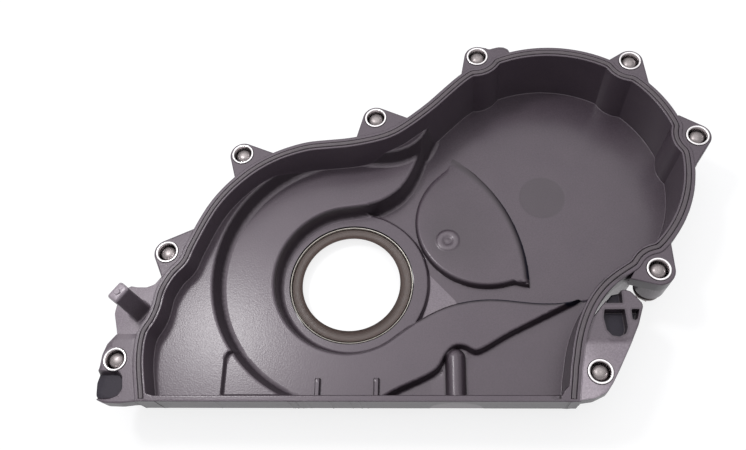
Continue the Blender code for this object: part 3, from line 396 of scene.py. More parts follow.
def planLines(v, shapes):
    # every edge of the plan, and the offsets at which its fillets change direction
    wall = stepLines(v["rimFoot"], v["rimLip"], v["innerDraft"])
    start, end, draft = v["grooveStart"], v["grooveEnd"], v["grooveDraft"]
    lines = offsets(shapes["rim"], [shapes["wallFoot"] - o for o in wall])
    lines += offsets(shapes["rim"], (-0.3, -0.12, 0, 0.12, 0.2, 0.35, 0.55, start, start + draft, end - draft, end,
                                     0.8, 1.3, 1.8))
    for name in ("plateau", "spiral", "field"):
        lines += offsets(shapes[name], stepLines(*v[name + "Step"]))
        lines += offsets(shapes[name], [v["wall"] + o for o in (-0.5, 0, 0.5, 1)])
    across = [shapes["railInner"] - o for o in wall]
    across += [v["railFace"] + o for o in (0.05, 0.15, 0.35, v["railEdge"], v["railEdge"] + v["edgeDraft"])]
    across += [shapes["ledge"] + o for o in (-v["wall"], -1, -0.7, -0.2, 0, 0.5, 0.9)]
    lines += [evenSteps(np.array([(-120, y), (140, y)]), 2) for y in across]
    lines += [padLoop(v, reach, 1.0, 1.0) for reach in (-0.8, -0.3, 0, 0.15, 0.3, 0.55, 1, 1.6, 2.3, 3, 3.8, 4.4)]
    for centre, radius, beyond, step in (
            ((0, 0), v["collarRadius"], (1.2, 0.8, 0.4, 0, -0.3, -0.6, -1, -1.4), 1.0),
            ((0, 0), v["sealBore"], (0, 0.15, 0.35, 0.6), 0.8),
            (v["discPlace"], v["discRadius"], (-0.7, -0.3, 0.3, 0.7), 1.2),
            (v["gatePlace"], 0, (0.7, 1.4, 2, 2.5, 3, 3.5, 4, 4.5, 5, 5.5, 6, 6.5), 0.7)):
        lines += circles(centre, [radius + o for o in beyond], step)
    lines += [shapes["facet"]] + offsets(shapes["facet"], (-0.4, 0.4))
    lines += [closedLoop(np.array(pocketOutline) + (o, -o), 1.0) for o in (0, 0.4, -0.4, 0.8, -0.8, 1.3, -1.3)]
    for x in v["barX"]:
        for grow in (-0.6, -0.25, 0, 0.15, 0.4):
            half, end = v["barWidth"] / 2 - grow, v["barEnd"] - grow
            bar = np.array([(x - half, -70), (x - half, end), (x + half, end), (x + half, -70)])
            lines.append(evenSteps(bar, 1))
    shares = (0.25, 0.5, 0.75, 0.92, 1, 1.25)
    for share in [-s for s in shares[::-1]] + [0, *shares]:
        x = v["bossX"] + share * v["sumpBossRadius"]
        lines.append(evenSteps(np.array([(x, -70), (x, v["sumpBossEnd"])]), 1.5))
    lines += [arcPoints((v["bossX"], v["sumpBossEnd"]), s * v["sumpBossRadius"], 0, 180, 0.7) for s in shares]
    for outline in shapes["lugs"]:
        lines += offsets(outline, (-0.12, 0, 0.1, 0.3, 0.6, 1))
    lines += offsets(shapes["lowPlate"], (-0.4, -0.1, 0)) + offsets(shapes["bump"], (0, -0.3, -0.9, -1.8))
    recess = v["railRecess"]
    recessBack = v["railFace"] + recess["depth"]
    for x in np.linspace(-1, 1, 25) * recess["radius"] + recess["x"]:
        lines.append(np.array([(x, v["railFace"] - 0.5), (x, recessBack + 0.3)]))
    lines += [evenSteps(np.array([(30, recessBack + o), (70, recessBack + o)]), 0.9) for o in (0, 0.1)]
    for foot in shapes["railFeet"]:
        lines += offsets(foot, (-0.4, 0, 0.3, 0.7))
    lines += [evenSteps(np.array([(x + o, -64), (x + o, shapes["railInner"])]), 0.7)
              for x in v["notchEnds"] for o in (-v["notchDraft"], v["notchDraft"])]
    lines += [shapes["leftCore"]] + offsets(shapes["leftCore"], (-0.4, -0.8, -1.2, -1.6)) + shapes["rightCores"]
    for core in shapes["rightCores"]:
        lines += offsets(core, (-1, -0.4, 0.4, 0.8))
    lines += [evenSteps(np.array([(98, v["rightStepY"] + o), (126, v["rightStepY"] + o)]), 1)
              for o in (-2.8, -1.9, -1, 0, 1, 1.9, 2.8)]
    for place in boltPlaces:
        lines += circles(place, (v["sleeveBore"], 5.6, 5.8, 6.1, 6.25, v["bossRadius"]), 0.7)
    lines += circles(boltPlaces[v["cornerBolt"]], [v["cornerBossRadius"] - o for o in (0, 0.15, 0.4)], 0.7)
    lines += [pegOutline(v, inset) for inset, _ in v["pegFoot"] + v["pegEdge"]]
    return lines + circles(v["pegPlace"], [v["nubRadius"] - o for o in (v["nubDraft"], 0)], 0.5)


def trianglePlan(v, shapes):
    # triangles between all lines of the plan, kept where there is plastic
    lines = planLines(v, shapes)
    points = np.vstack(lines)
    ends = np.cumsum([len(line) for line in lines])
    first = np.delete(np.arange(len(points)), ends - 1)
    edges = np.column_stack([first, first + 1])
    seen = (np.abs(points[:, 0] - 30) < 160) & (points[:, 1] > -72) & (points[:, 1] < 128)
    print("plan", len(points), "points")
    made = delaunay_2d_cdt([Vector(p) for p in points], edges[seen[edges].all(axis=1)].tolist(), [], 0, 0.004)
    plan = np.array([tuple(p) for p in made[0]])
    faces = np.array([f for f in made[2] if len(f) == 3])
    middle = plan[faces].mean(axis=1)
    print("triangulated", len(plan), "points", len(faces), "faces")
    kept = insideOf(middle, np.vstack([shapes["rim"], shapes["rim"][:1]])) & (middle[:, 1] > v["railFace"] - 0.01)
    for outline in shapes["lugs"] + [shapes["lowPlate"], shapes["bump"]]:
        kept |= insideOf(middle, outline)
    fromBolts = [distanceFrom(middle, place) for place in boltPlaces]
    for number, distance in enumerate(fromBolts):
        kept |= distance < bossRadiusAt(v, number)
    kept &= np.min(fromBolts, axis=0) > v["sleeveBore"] - 0.01
    kept &= distanceFrom(middle, (0, 0)) > v["sealBore"] - 0.02
    used, faces = np.unique(faces[kept], return_inverse=True)
    faces, plan = faces.reshape(-1, 3), plan[used]
    a, b, c = plan[faces].transpose(1, 0, 2)
    turned = np.cross(b - a, c - a) < 0
    faces[turned] = faces[turned][:, ::-1]
    return plan, faces


def engineSide(v, t, shapes, plan, reach):
    # heights and tones of the side towards the engine, from the bay floor upwards
    x, y = plan.T
    rimDepth, offSpiral, offField = reach["rim"], reach["spiral"], reach["field"]
    fromCrank = np.hypot(x, y)
    inDisc = limited(v["discRadius"] + 0.5 - distanceFrom(plan, v["discPlace"]))
    tone = t["plain"] - t["discLess"] * inDisc
    top = -v["domeDepth"] - v["discDepth"] * inDisc
    facet = depthIn(plan, shapes["facet"])
    offCollar = fromCrank > v["collarRadius"] - 0.1
    top = top + v["facetSlope"] * np.maximum(facet, 0) * offCollar
    # painted reflection: the sloped facet beyond the collar is coloured lighter for the light it reflects
    tone = tone + t["facetReflectionMore"] * limited(facet / 0.4) * offCollar
    top = stepUp(v["collarRadius"] - fromCrank, top, -v["collarDepth"], *v["collarStep"])

    padDepth = depthIn(plan, shapes["pad"])
    padLevel = v["padRise"] - v["domeDepth"] - tan(radians(v["padTilt"])) * y
    gate = distanceFrom(plan, v["gatePlace"])
    ringRadius, ringWidth = v["gateRing"]
    ring = limited(1 - ((gate - ringRadius) / ringWidth) ** 2) + 0.5 * limited(1 - (gate / v["gateDot"]) ** 2)
    # the side that clears the pulley falls away in a wide quarter ellipse, the other side in a tight one
    inPulley = (v["pulleyRadius"] - fromCrank) / v["padFall"]
    share = limited(np.minimum(padDepth / v["padEdge"], inPulley))
    rise = np.maximum(padLevel - top, 0)
    padTop = top + rise * np.sqrt(1 - (1 - share) ** 2) + v["gateHeight"] * ring * (rise > 0)
    top = np.where(padDepth > 0, padTop, top)
    inner, outer, fade = t["gateDull"]
    dull = limited((outer - gate) / fade) * limited((gate - inner) / fade)
    # painted shade: a dark band inside the pad's edge along the pulley arc, above the crank axis
    full, fade = t["flankFade"]
    flank = limited(full - inPulley * fade) * (y > 1)
    # painted highlight: the raised gate ring is coloured lighter
    padTone = tone - t["gateLess"] * dull + t["gateRingHighlightMore"] * ring - t["padFlankShadeLess"] * flank
    tone = np.where(padDepth > 0, padTone, tone)

    top = stepUp(offSpiral, top, -v["fieldDepth"], *v["spiralStep"])
    # painted shade: a dark line along the lip of the spiral's start step, fading in past x = 32 mm below the crank
    # axis
    (middle, half), (fadeFrom, fade) = t["startLine"], t["startFade"]
    startShade = limited(half - np.abs(offSpiral - middle)) * limited((x - fadeFrom) / fade) * (y < 0)
    tone = tone - t["spiralStartShadeLess"] * startShade
    onField = np.where(offField < offSpiral, 1.0, 0.0)
    foot, lip, draft = [f * onField + s * (1 - onField) for f, s in zip(v["fieldStep"], v["spiralStep"])]
    top = stepUp(np.minimum(offSpiral, offField), top, -v["spiralDepth"], foot, lip, draft)
    # the sump boss is a half round with a round end, blended into the walls that it meets
    sideways = np.abs((x - v["bossX"]) / v["sumpBossRadius"])
    beyond = np.clip((y - v["sumpBossEnd"]) / v["sumpBossRadius"], 0, None)
    boss = v["sumpBossRadius"] * np.sqrt(limited(1 - sideways ** 2 - beyond ** 2)) - v["fieldDepth"]
    blend = np.clip(v["bossBlend"] - np.abs(top - boss), 0, None)
    onBoss = (sideways < 1.25) & (beyond < 1.25) & (y < -30)
    top = np.where(onBoss, np.maximum(top, boss) + blend ** 2 / (4 * v["bossBlend"]), top)
    nearBar = np.minimum(*[np.abs(x - place) for place in v["barX"]])
    barReach = np.minimum(v["barWidth"] / 2 - nearBar, v["barEnd"] - y)
    top = stepUp(barReach, top, v["barHeight"] - v["spiralDepth"], *v["barStep"])
    inPocket = eased(0.5 + depthIn(plan, shapes["pocket"]) / v["pocketEase"])
    plateauLevel = -v["plateauDepth"] - (v["pocketDepth"] - v["plateauDepth"]) * inPocket
    top = stepUp(reach["plateau"], top, plateauLevel, *v["plateauStep"])
    top = stepUp(shapes["ledge"] - y, top, v["wall"] - v["railHeight"], *v["ledgeStep"])

    footReach = np.maximum(*[depthIn(plan, foot) for foot in shapes["railFeet"]])
    wallReach = np.maximum(np.maximum(shapes["wallFoot"] - rimDepth, shapes["railInner"] - y), footReach)
    top = stepUp(wallReach, top, 0.0, v["rimFoot"], v["rimLip"], v["innerDraft"])
    fromEdge = y - v["railFace"] - v["railEdge"]
    groove = np.minimum(rimDepth - v["grooveStart"], v["grooveEnd"] - rimDepth) / v["grooveDraft"]
    groove = limited(np.minimum(groove, fromEdge / v["edgeDraft"]))
    top = np.where(wallReach > v["innerDraft"], top - v["grooveDepth"] * groove, top)
    start, end = v["notchEnds"]
    notch = np.minimum(np.minimum(x - start, end - x), np.minimum(shapes["railInner"] - y, fromEdge))
    notched = np.minimum(top, np.maximum(-v["notchDepth"], top - notch / v["notchDraft"] * v["notchDepth"]))
    top = np.where((rimDepth > v["flangeWidth"]) & (notch > 0), notched, top)
    outerEdge = roundedDrop(v["rimRounding"], v["rimRounding"] - (y - v["railFace"]))
    return np.where(rimDepth > 0.2, top - outerEdge, top), tone, wallReach


def outsideRim(v, t, shapes, spots):
    # tops, undersides and tones of the lugs, the low plate and the peg
    x, y = spots.T
    edge = np.max([depthIn(spots, outline) for outline in shapes["lugs"]], axis=0)
    inRight = depthIn(spots, shapes["rightLug"]) > -0.02
    inLeft = depthIn(spots, shapes["leftLug"]) > -0.02
    slope = eased(0.5 + (y - v["rightStepY"]) / v["rightSlope"])
    level = -v["lugStep"] - (v["rightStepDepth"] - v["lugStep"]) * slope * inRight
    # painted sheen: the left and right lugs are lighter, the right lug's higher part below its step more so, most
    # towards the rim
    farX, lean, lowY, fade = t["nearRim"]
    nearRim = limited((farX - x - lean * (y - lowY)) / fade)
    rightTone = t["lug"] + (t["rightLugSheenMore"] + t["nearRimSheenMore"] * nearRim) * (1 - slope)
    tone = np.where(inLeft, t["lug"], np.where(inRight, rightTone, t["plain"]))
    # painted shade: the right lug's cores are darkened, with a soft band round them, and the left lug's core
    # darkens as it sinks
    for core in shapes["rightCores"]:
        inCore = depthIn(spots, core)
        sink = limited(inCore / v["rightCoreDraft"])
        level = np.where(inRight, level * (1 - sink) - v["rightCoreDepth"] * sink, level)
        coreShade = t["rightCore"][0] - t["rightCore"][1] * np.clip(inCore / 0.8, -1, 1)
        tone = np.where(inRight & (inCore > -3), np.minimum(tone, coreShade), tone)
    sink = eased(depthIn(spots, shapes["leftCore"]) / v["leftCoreDraft"])
    level = np.where(inLeft, level * (1 - sink) - v["leftCoreDepth"] * sink, level)
    tone = np.where(inLeft, tone * (1 - sink) + t["leftCore"] * sink, tone)
    level = level - np.where(edge > -0.4, roundedDrop(v["lugRounding"], v["lugRounding"] - edge), 0)
    inBump = depthIn(spots, shapes["bump"])
    bumpLevel = -v["lugStep"] - roundedDrop(v["bumpRounding"], v["bumpRounding"] - inBump)
    level = np.where((inBump > -0.02) & (edge < 0.3), bumpLevel, level)

    inPlate = depthIn(spots, shapes["lowPlate"])
    plateLevel = -v["lowPlateDepth"] - roundedDrop(v["plateRounding"], v["plateRounding"] - inPlate)
    onPlate = (inPlate > -0.02) & (edge < 0)
    inPeg = pegDepth(spots, v)
    footInset, footRise = np.array(v["pegFoot"]).T
    edgeInset, edgeDrop = np.array(v["pegEdge"]).T
    pegHeights = [*(footRise - v["lowPlateDepth"]), *(v["pegTop"] - edgeDrop)]
    pegLevel = np.interp(inPeg, [*footInset, *edgeInset], pegHeights)
    onNub = limited((v["nubRadius"] - distanceFrom(spots, v["pegPlace"])) / v["nubDraft"])
    pegLevel = pegLevel + v["nubHeight"] * onNub
    plateLevel = np.where(inPeg > footInset[0], np.maximum(plateLevel, pegLevel), plateLevel)
    level = np.where(onPlate, plateLevel, level)
    # painted light and shade: the low plate is lighter, the peg's lit top palest, its side darker than the top
    plateTone = np.where(inPeg > 0.3, t["pegTop"], np.where(inPeg > -0.1, t["pegSide"], t["lowPlate"]))
    tone = np.where(onPlate, plateTone, tone)
    low = np.where(onPlate, -v["lowPlateDepth"] - v["lowPlateThick"], -v["lugDepth"])
    for number, place in enumerate(boltPlaces):
        sink = limited((bossRadiusAt(v, number) - distanceFrom(spots, place)) / v["bossDraft"])
        low = low * (1 - sink) - v["bossDepth"] * sink
    return level, low, tone


def outerSide(v, plan, reach, top, lugBottom):
    # the same terraces one wall thickness further down, and the recess in the rail's face
    x, y = plan.T
    rimDepth, wall = reach["rim"], v["wall"]
    bottom = np.full(len(plan), -(v["domeDepth"] + wall))
    onEither = np.minimum(reach["spiral"], reach["field"])
    terraces = [(reach["spiral"], "fieldDepth"), (onEither, "spiralDepth"), (reach["plateau"], "plateauDepth")]
    for inward, depth in terraces:
        bottom = stepUp(inward - wall, bottom, -(v[depth] + wall), *v["outerStep"])
    bottom = stepUp(v["railFace"] + v["railWidth"] - y, bottom, -v["railHeight"], *v["outerRailStep"])
    edge = v["bottomRounding"]
    bottom = bottom + np.where(rimDepth > 0.25, roundedDrop(edge, edge - rimDepth + 0.3), edge)
    bottom = np.where(rimDepth < 0.25, np.maximum(lugBottom, bottom), bottom)
    bottom = np.where(rimDepth < 0.05, lugBottom, bottom)
    bottom = np.where((y < v["railFace"] + 0.1) & (rimDepth > 0.3), -v["railHeight"], bottom)
    recess = v["railRecess"]
    arch = np.sqrt(limited(1 - ((x - recess["x"]) / recess["radius"]) ** 2)) * recess["radius"]
    recessed = (y < v["railFace"] + recess["depth"] + 0.05) & (arch > 0)
    bottom = np.where(recessed, np.maximum(bottom, arch - v["railHeight"]), bottom)
    return np.minimum(bottom, top - v["thinnest"]), recessed


def joinedSheets(plan, faces, top, bottom):
    # the two sheets, joined by walls along every open edge of the plan
    sides = np.vstack([faces[:, [0, 1]], faces[:, [1, 2]], faces[:, [2, 0]]])
    _, index, counts = np.unique(np.sort(sides, axis=1), axis=0, return_index=True, return_counts=True)
    openSides = sides[index[counts == 1]]
    total = len(plan)
    start, end = openSides.T
    walls = np.vstack([np.column_stack([end, start, start + total]),
                       np.column_stack([end, start + total, end + total])])
    vertices = np.vstack([np.column_stack([plan, top]), np.column_stack([plan, bottom])])
    return vertices, np.vstack([faces, faces[:, ::-1] + total, walls]), openSides


def uprightShare(vertices, triangles):
    # 1 where the triangles round a point stand upright, each counted by its area
    a, b, c = vertices[triangles].transpose(1, 0, 2)
    facing = np.cross(b - a, c - a)
    corners, count = triangles.ravel(), len(vertices)
    level = np.bincount(corners, np.repeat(np.abs(facing[:, 2]), 3), count)
    level /= np.maximum(np.bincount(corners, np.repeat(np.linalg.norm(facing, axis=1), 3), count), 1e-9)
    return limited((0.9 - level) / 0.4)


def moulding(v, t):
    # The whole moulding as two heights over one plan: the engine side and the outer side.
    # The plan is triangulated along every edge and the offsets of its fillets, each point is
    # lifted by the walls it stands on, and the two sheets are joined round their rims.
    shapes = coverShapes(v)
    plan, faces = trianglePlan(v, shapes)
    x, y = plan.T
    reach = {name: distanceTo(plan, shapes[name]) for name in ("rim", "plateau", "spiral", "field")}
    rimDepth = reach["rim"]
    top, tone, wallReach = engineSide(v, t, shapes, plan, reach)
    lugTop, lugBottom = np.full(len(plan), -v["lugStep"]), np.full(len(plan), -v["lugDepth"])
    near = rimDepth < 0.5
    lugTop[near], lugBottom[near], tone[near] = outsideRim(v, t, shapes, plan[near])
    rise = stepUp(rimDepth, lugTop, 0.0, *v["rimStep"])
    top = np.where(rimDepth < 0.6, np.where(rimDepth < 0, lugTop, rise), top)
    bottom, recessed = outerSide(v, plan, reach, top, lugBottom)
    vertices, triangles, openSides = joinedSheets(plan, faces, top, bottom)

    # painted shade: the terraces' steps are darker where they stand upright, and so are the outer walls and the
    # recess in the rail's face
    terrace = ((wallReach < -0.2) & (rimDepth > v["flangeWidth"])) | ((x > 88) & (y < -12) & (rimDepth > 5))
    upright = uprightShare(vertices, triangles)[:len(plan)]
    tone = np.where(terrace, tone - t["terraceShadeLess"] * upright, tone)
    outerWall = np.zeros(len(plan), bool)
    outerWall[openSides] = True
    tones = [np.where(outerWall, t["outerWall"], tone), np.where(outerWall | recessed, t["outerWall"], t["plain"])]
    return vertices, triangles, np.concatenate(tones)


def addObject(name, data, place=None):
    made = bpy.data.objects.new(name, data)
    made.matrix_world = place or Matrix()
    bpy.context.scene.collection.objects.link(made)
    return made


def addMesh(name, vertices, faces, smoothAngle, **marks):
    # a piece from points in millimetres, welded, with one number per point for each mark
    mesh = bpy.data.meshes.new(name)
    mesh.from_pydata(toFrame(vertices).tolist(), [], [list(face) for face in faces])
    for mark, values in marks.items():
        mesh.attributes.new(mark, "FLOAT", "POINT").data.foreach_set("value", np.asarray(values, np.float32))
    work = bmesh.new()
    work.from_mesh(mesh)
    bmesh.ops.remove_doubles(work, verts=work.verts, dist=1e-6)
    bmesh.ops.recalc_face_normals(work, faces=work.faces)
    work.to_mesh(mesh)
    work.free()
    mesh.shade_smooth()
    mesh.set_sharp_from_angle(angle=radians(smoothAngle))
    return addObject(name, mesh)


def gridFaces(rows, columns, count):
    # quads of the first rows of a grid with this many points, whose columns close on themselves
    row, column = np.meshgrid(np.arange(rows), np.arange(columns), indexing="ij")
    nextRow, nextColumn = (row + 1) % (count // columns), (column + 1) % columns
    corners = [row * columns + column, nextRow * columns + column,
               nextRow * columns + nextColumn, row * columns + nextColumn]
    return np.stack([corner.ravel() for corner in corners], axis=1)


def turnedPiece(name, profile, segments, centre=(0.0, 0.0), shape=None, smoothAngle=38):
    # A closed profile of (radius, height) carried round the Z axis: point (i, j) is profile point i
    # at angle j, with its radius multiplied by shape(i, angle) where that is given.
    # The mark "turned" is the length along the profile, which the lathe marks follow.
    profile = np.asarray(profile, float)
    angles = np.linspace(0, 2 * pi, segments, endpoint=False)
    radii = np.repeat(profile[:, :1], segments, axis=1)
    if shape is not None:
        radii = radii * shape(np.arange(len(profile))[:, None], angles[None])
    grid = np.stack([centre[0] + radii * np.cos(angles), centre[1] + radii * np.sin(angles),
                     np.repeat(profile[:, 1:], segments, axis=1)], axis=-1)
    faces = gridFaces(len(profile), segments, len(profile) * segments)
    along = np.concatenate([[0], np.cumsum(np.linalg.norm(np.diff(profile, axis=0), axis=1))])
    return addMesh(name, grid.reshape(-1, 3), faces, smoothAngle, turned=np.repeat(along, segments))


def fill(tree, node, inputs):
    # each input linked to a socket, or set to a value
    for name, value in inputs.items():
        if isinstance(value, bpy.types.NodeSocket):
            tree.links.new(value, node.inputs[name])
        else:
            node.inputs[name].default_value = value


def newNode(tree, kind, inputs=None, **settings):
    node = tree.nodes.new("ShaderNode" + kind)
    for name, value in settings.items():
        setattr(node, name, value)
    fill(tree, node, inputs or {})
    return node


def newMaterial(name, colour, roughness, metallic=0.0):
    made = bpy.data.materials.new(name)
    made.use_nodes = True
    shader = made.node_tree.nodes["Principled BSDF"]
    fill(made.node_tree, shader, {"Base Color": (*colour, 1), "Roughness": roughness, "Metallic": metallic})
    return made, made.node_tree, shader


def noiseOn(tree, place, scale, detail):
    return newNode(tree, "TexNoise", {"Vector": place, "Scale": scale, "Detail": detail}).outputs["Fac"]


def rampOn(tree, source, stops):
    ramp = newNode(tree, "ValToRGB", {"Fac": source})
    elements = ramp.color_ramp.elements
    while len(elements) < len(stops):
        elements.new(0.5)
    for element, (position, colour) in zip(elements, stops):
        element.position = position
        element.color = (*colour, 1)
    return ramp.outputs["Color"]


def rangeOn(tree, source, low, high, fromLow=0.0, fromHigh=1.0):
    ends = {"Value": source, "From Min": fromLow, "From Max": fromHigh, "To Min": low, "To Max": high}
    return newNode(tree, "MapRange", ends).outputs["Result"]


def multiplied(tree, first, second):
    colours = {"Factor": 1.0, "A": first, "B": second}
    return newNode(tree, "Mix", colours, data_type="RGBA", blend_type="MULTIPLY").outputs["Result"]


def bumpOn(tree, source, strength, distance):
    return newNode(tree, "Bump", {"Strength": strength, "Distance": distance, "Height": source}).outputs["Normal"]


plasticValues = {
    # recess and dark are painted shade for cores and steep walls, pale is painted sheen on the webs and the peg's
    # top; plain is the plastic's own colour
    "recess": (0.010, 0.011, 0.020), "dark": (0.019, 0.014, 0.018), "plain": (0.055, 0.041, 0.053),
    "pale": (0.36, 0.315, 0.35), "grainScale": 1500, "grainDark": 0.80, "grainPale": 1.16, "grainHeight": 0.00012,
    "mottleScale": 60, "mottleDark": (0.92, 0.90, 0.93), "mottlePale": (1.08, 1.08, 1.07),
    "roughness": (0.37, 0.46), "dullest": 0.6, "shine": (0.1, 0.5), "shineEnd": 0.15,
    "shineTint": (1.0, 0.9, 0.985), "sheen": 0.3, "sheenEnd": 0.2, "sheenRoughness": 0.2,
}


def plasticMaterial(v):
    # satin moulded plastic: the mark "tone" runs from the painted shade of dark recesses over plain walls to the
    # painted sheen of pale webs
    made, tree, shader = newMaterial("satinPlastic", v["plain"], 0.42)
    place = newNode(tree, "TexCoord").outputs["Object"]
    tone = newNode(tree, "Attribute", attribute_name="tone").outputs["Fac"]
    toneColour = rampOn(tree, tone, [(0.0, v["recess"]), (0.15, v["dark"]), (0.5, v["plain"]), (1.0, v["pale"])])
    grain = noiseOn(tree, place, v["grainScale"], 2)
    mottle = noiseOn(tree, place, v["mottleScale"], 4)
    fine = rampOn(tree, grain, [(0.3, (v["grainDark"],) * 3), (0.7, (v["grainPale"],) * 3)])
    soft = rampOn(tree, mottle, [(0.3, v["mottleDark"]), (0.7, v["mottlePale"])])
    # dull and without shine in the recesses, satin elsewhere
    grained = rangeOn(tree, grain, *v["roughness"], 0.3, 0.7)
    dulled = rangeOn(tree, tone, v["dullest"], v["roughness"][0], 0.0, v["shineEnd"])
    bump = bumpOn(tree, grain, 0.3, v["grainHeight"])
    fill(tree, shader, {
        "Base Color": multiplied(tree, multiplied(tree, toneColour, fine), soft),
        "Specular IOR Level": rangeOn(tree, tone, *v["shine"], 0.0, v["shineEnd"]),
        "Coat Weight": rangeOn(tree, tone, 0.0, v["sheen"], 0.0, v["sheenEnd"]),
        "Roughness": newNode(tree, "Math", {0: grained, 1: dulled}, operation="MAXIMUM").outputs["Value"],
        "Specular Tint": (*v["shineTint"], 1), "Coat Roughness": v["sheenRoughness"],
        "Normal": bump, "Coat Normal": bump})
    return made


turningValues = {"darker": 0.72, "brighter": 1.12, "ringHeight": 0.00005, "wornScale": 700,
                 "worn": (0.86, 0.86, 0.87)}


def turnedMetal(name, colour, roughness, ringsPerMillimetre, strength, metallic=1.0):
    # fine rings round the axis, from a noise along the turned profile
    v = turningValues
    made, tree, shader = newMaterial(name, colour, roughness[0], metallic)
    along = newNode(tree, "Attribute", attribute_name="turned").outputs["Fac"]
    rings = newNode(tree, "TexNoise", {"Scale": ringsPerMillimetre, "Detail": 2, "W": along}, noise_dimensions="1D")
    rings = rings.outputs["Fac"]
    worn = noiseOn(tree, newNode(tree, "TexCoord").outputs["Object"], v["wornScale"], 3)
    dark = tuple(c * v["darker"] for c in colour)
    bright = tuple(min(1.0, c * v["brighter"]) for c in colour)
    ringTone = rampOn(tree, rings, [(0.35, dark), (0.62, bright)])
    wornTone = rampOn(tree, worn, [(0.35, v["worn"]), (0.6, (1.0, 1.0, 1.0))])
    fill(tree, shader, {"Base Color": multiplied(tree, ringTone, wornTone),
                        "Roughness": rangeOn(tree, worn, *roughness, 0.35, 0.65),
                        "Normal": bumpOn(tree, rings, strength, v["ringHeight"])})
    return made


rubberValues = {"plain": (0.07, 0.056, 0.066), "dark": (0.062, 0.049, 0.058), "pale": (0.092, 0.073, 0.084),
                "dustScale": 260, "roughness": (0.40, 0.52), "grainScale": 2500, "grainHeight": 0.00006}


def rubberMaterial(v):
    made, tree, shader = newMaterial("mouldedRubber", v["plain"], 0.5)
    place = newNode(tree, "TexCoord").outputs["Object"]
    dust = noiseOn(tree, place, v["dustScale"], 5)
    fill(tree, shader, {"Base Color": rampOn(tree, dust, [(0.3, v["dark"]), (0.7, v["pale"])]),
                        "Roughness": rangeOn(tree, dust, *v["roughness"], 0.3, 0.7),
                        "Normal": bumpOn(tree, noiseOn(tree, place, v["grainScale"], 2), 0.3, v["grainHeight"])})
    return made


def finishPiece(made, material, node):
    made.data.materials.append(material)
    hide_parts(node)
    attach(made, "root")


vertices, faces, tones = moulding(coverValues, toneValues)
body = addMesh("coverMoulding", vertices, faces, 38, tone=tones)
evenShade = body.modifiers.new("evenShade", "WEIGHTED_NORMAL")
evenShade.keep_sharp = True
finishPiece(body, plasticMaterial(plasticValues), "cover_body")
print("moulding", len(body.data.vertices), "vertices", len(body.data.polygons), "faces")

gasketValues = {"setIn": 3.0, "spacing": 1.0, "width": 1.9, "bottom": -1.9, "proud": 0.4}


def gasketBead(v):
    # A rubber section carried along the rim: point (i, j) is section point j at path point i,
    # shifted sideways by its width and raised by its height. Both ends are closed by one face.
    line = evenSteps(shiftLeft(rimPath(coverValues), v["setIn"]), 0.3)
    line = evenSteps(line[line[:, 1] > coverValues["railFace"] + coverValues["railEdge"] + 0.1], v["spacing"])
    half, low, high = v["width"] / 2, v["bottom"], v["proud"]
    section = [(-half, low), (half, low), (half, high - 0.45), (half - 0.12, high - 0.2),
               (half - 0.35, high - 0.05), (0.25, high - 0.06), (0.0, high - 0.12), (-0.25, high - 0.06),
               (0.35 - half, high - 0.05), (0.12 - half, high - 0.2), (-half, high - 0.45)]
    widths, heights = np.array(section).T
    places = line[:, None, :] + leftOf(line)[:, None, :] * widths[None, :, None]
    grid = np.concatenate([places, np.broadcast_to(heights[None, :, None], (len(line), len(section), 1))], axis=2)
    count, total = len(section), len(line) * len(section)
    faces = gridFaces(len(line) - 1, count, total)[:, [0, 3, 2, 1]].tolist()
    return grid.reshape(-1, 3), faces + [list(range(count)), list(range(total - count, total))]


bead = addMesh("rimGasket", *gasketBead(gasketValues), 50)
finishPiece(bead, rubberMaterial(rubberValues), "perimeter_gasket")
print("gasket bead")

sealValues = {"top": -29.5, "height": 5.0, "radius": 30.3, "caseWall": 1.0, "floorRadius": 27.0,
              "shaftRadius": 24.0, "lipTop": -30.1, "lipOuter": 29.0, "lipDrop": 0.7, "lipCurl": 0.9,
              "lipThick": 0.7, "ringCount": 8, "ringDepth": 0.07, "segments": 180,
              "steel": (0.50, 0.47, 0.43), "brown": (0.088, 0.060, 0.052)}


def sealPieces(v):
    # the case is an L section with a rolled top edge, the lip a funnel with fine rings cut in it
    top, wall, outer = v["top"], v["caseWall"], v["radius"]
    floor = top - v["height"]
    case = [(outer, top - 0.45), (outer - 0.1, top - 0.15), (outer - 0.32, top), (outer - 0.52, top - 0.06),
            (outer - wall + 0.22, top - 0.5), (outer - wall, top - 1.0), (outer - wall, floor + wall + 0.4),
            (outer - wall - 0.4, floor + wall), (v["floorRadius"], floor + wall), (v["floorRadius"], floor),
            (outer - 0.5, floor), (outer, floor + 0.5)]
    metal = turnedMetal("sealSteel", v["steel"], (0.38, 0.48), 9, 0.2)
    finishPiece(turnedPiece("sealCase", case, v["segments"]), metal, "seal_case")
    shares = np.linspace(0, 1, 41)
    radii = v["lipOuter"] + (v["shaftRadius"] - v["lipOuter"]) * shares
    # the lip dips by a sine hump, curls back up at the shaft, and has shallow rings at even steps
    heights = v["lipTop"] - v["lipDrop"] * np.sin(shares * pi) ** 0.8 + v["lipCurl"] * shares ** 3
    rings = 0.5 - 0.5 * np.cos(shares * 2 * pi * v["ringCount"])
    heights -= v["ringDepth"] * rings * (shares > 0.02) * (shares < 0.98)
    upper = np.column_stack([radii, heights])
    under = v["lipTop"] - v["lipDrop"] - v["lipThick"]
    lower = np.array([(v["shaftRadius"] + 0.1, heights[-1] - v["lipThick"]), (v["shaftRadius"] + 1.2, under),
                      (v["lipOuter"], under)])
    brown = turnedMetal("bronzeLip", v["brown"], (0.36, 0.5), 5, 0.5, 0.0)
    finishPiece(turnedPiece("sealLip", np.vstack([upper, lower]), v["segments"], smoothAngle=60), brown,
                "seal_lip")


sealPieces(sealValues)
print("seal")

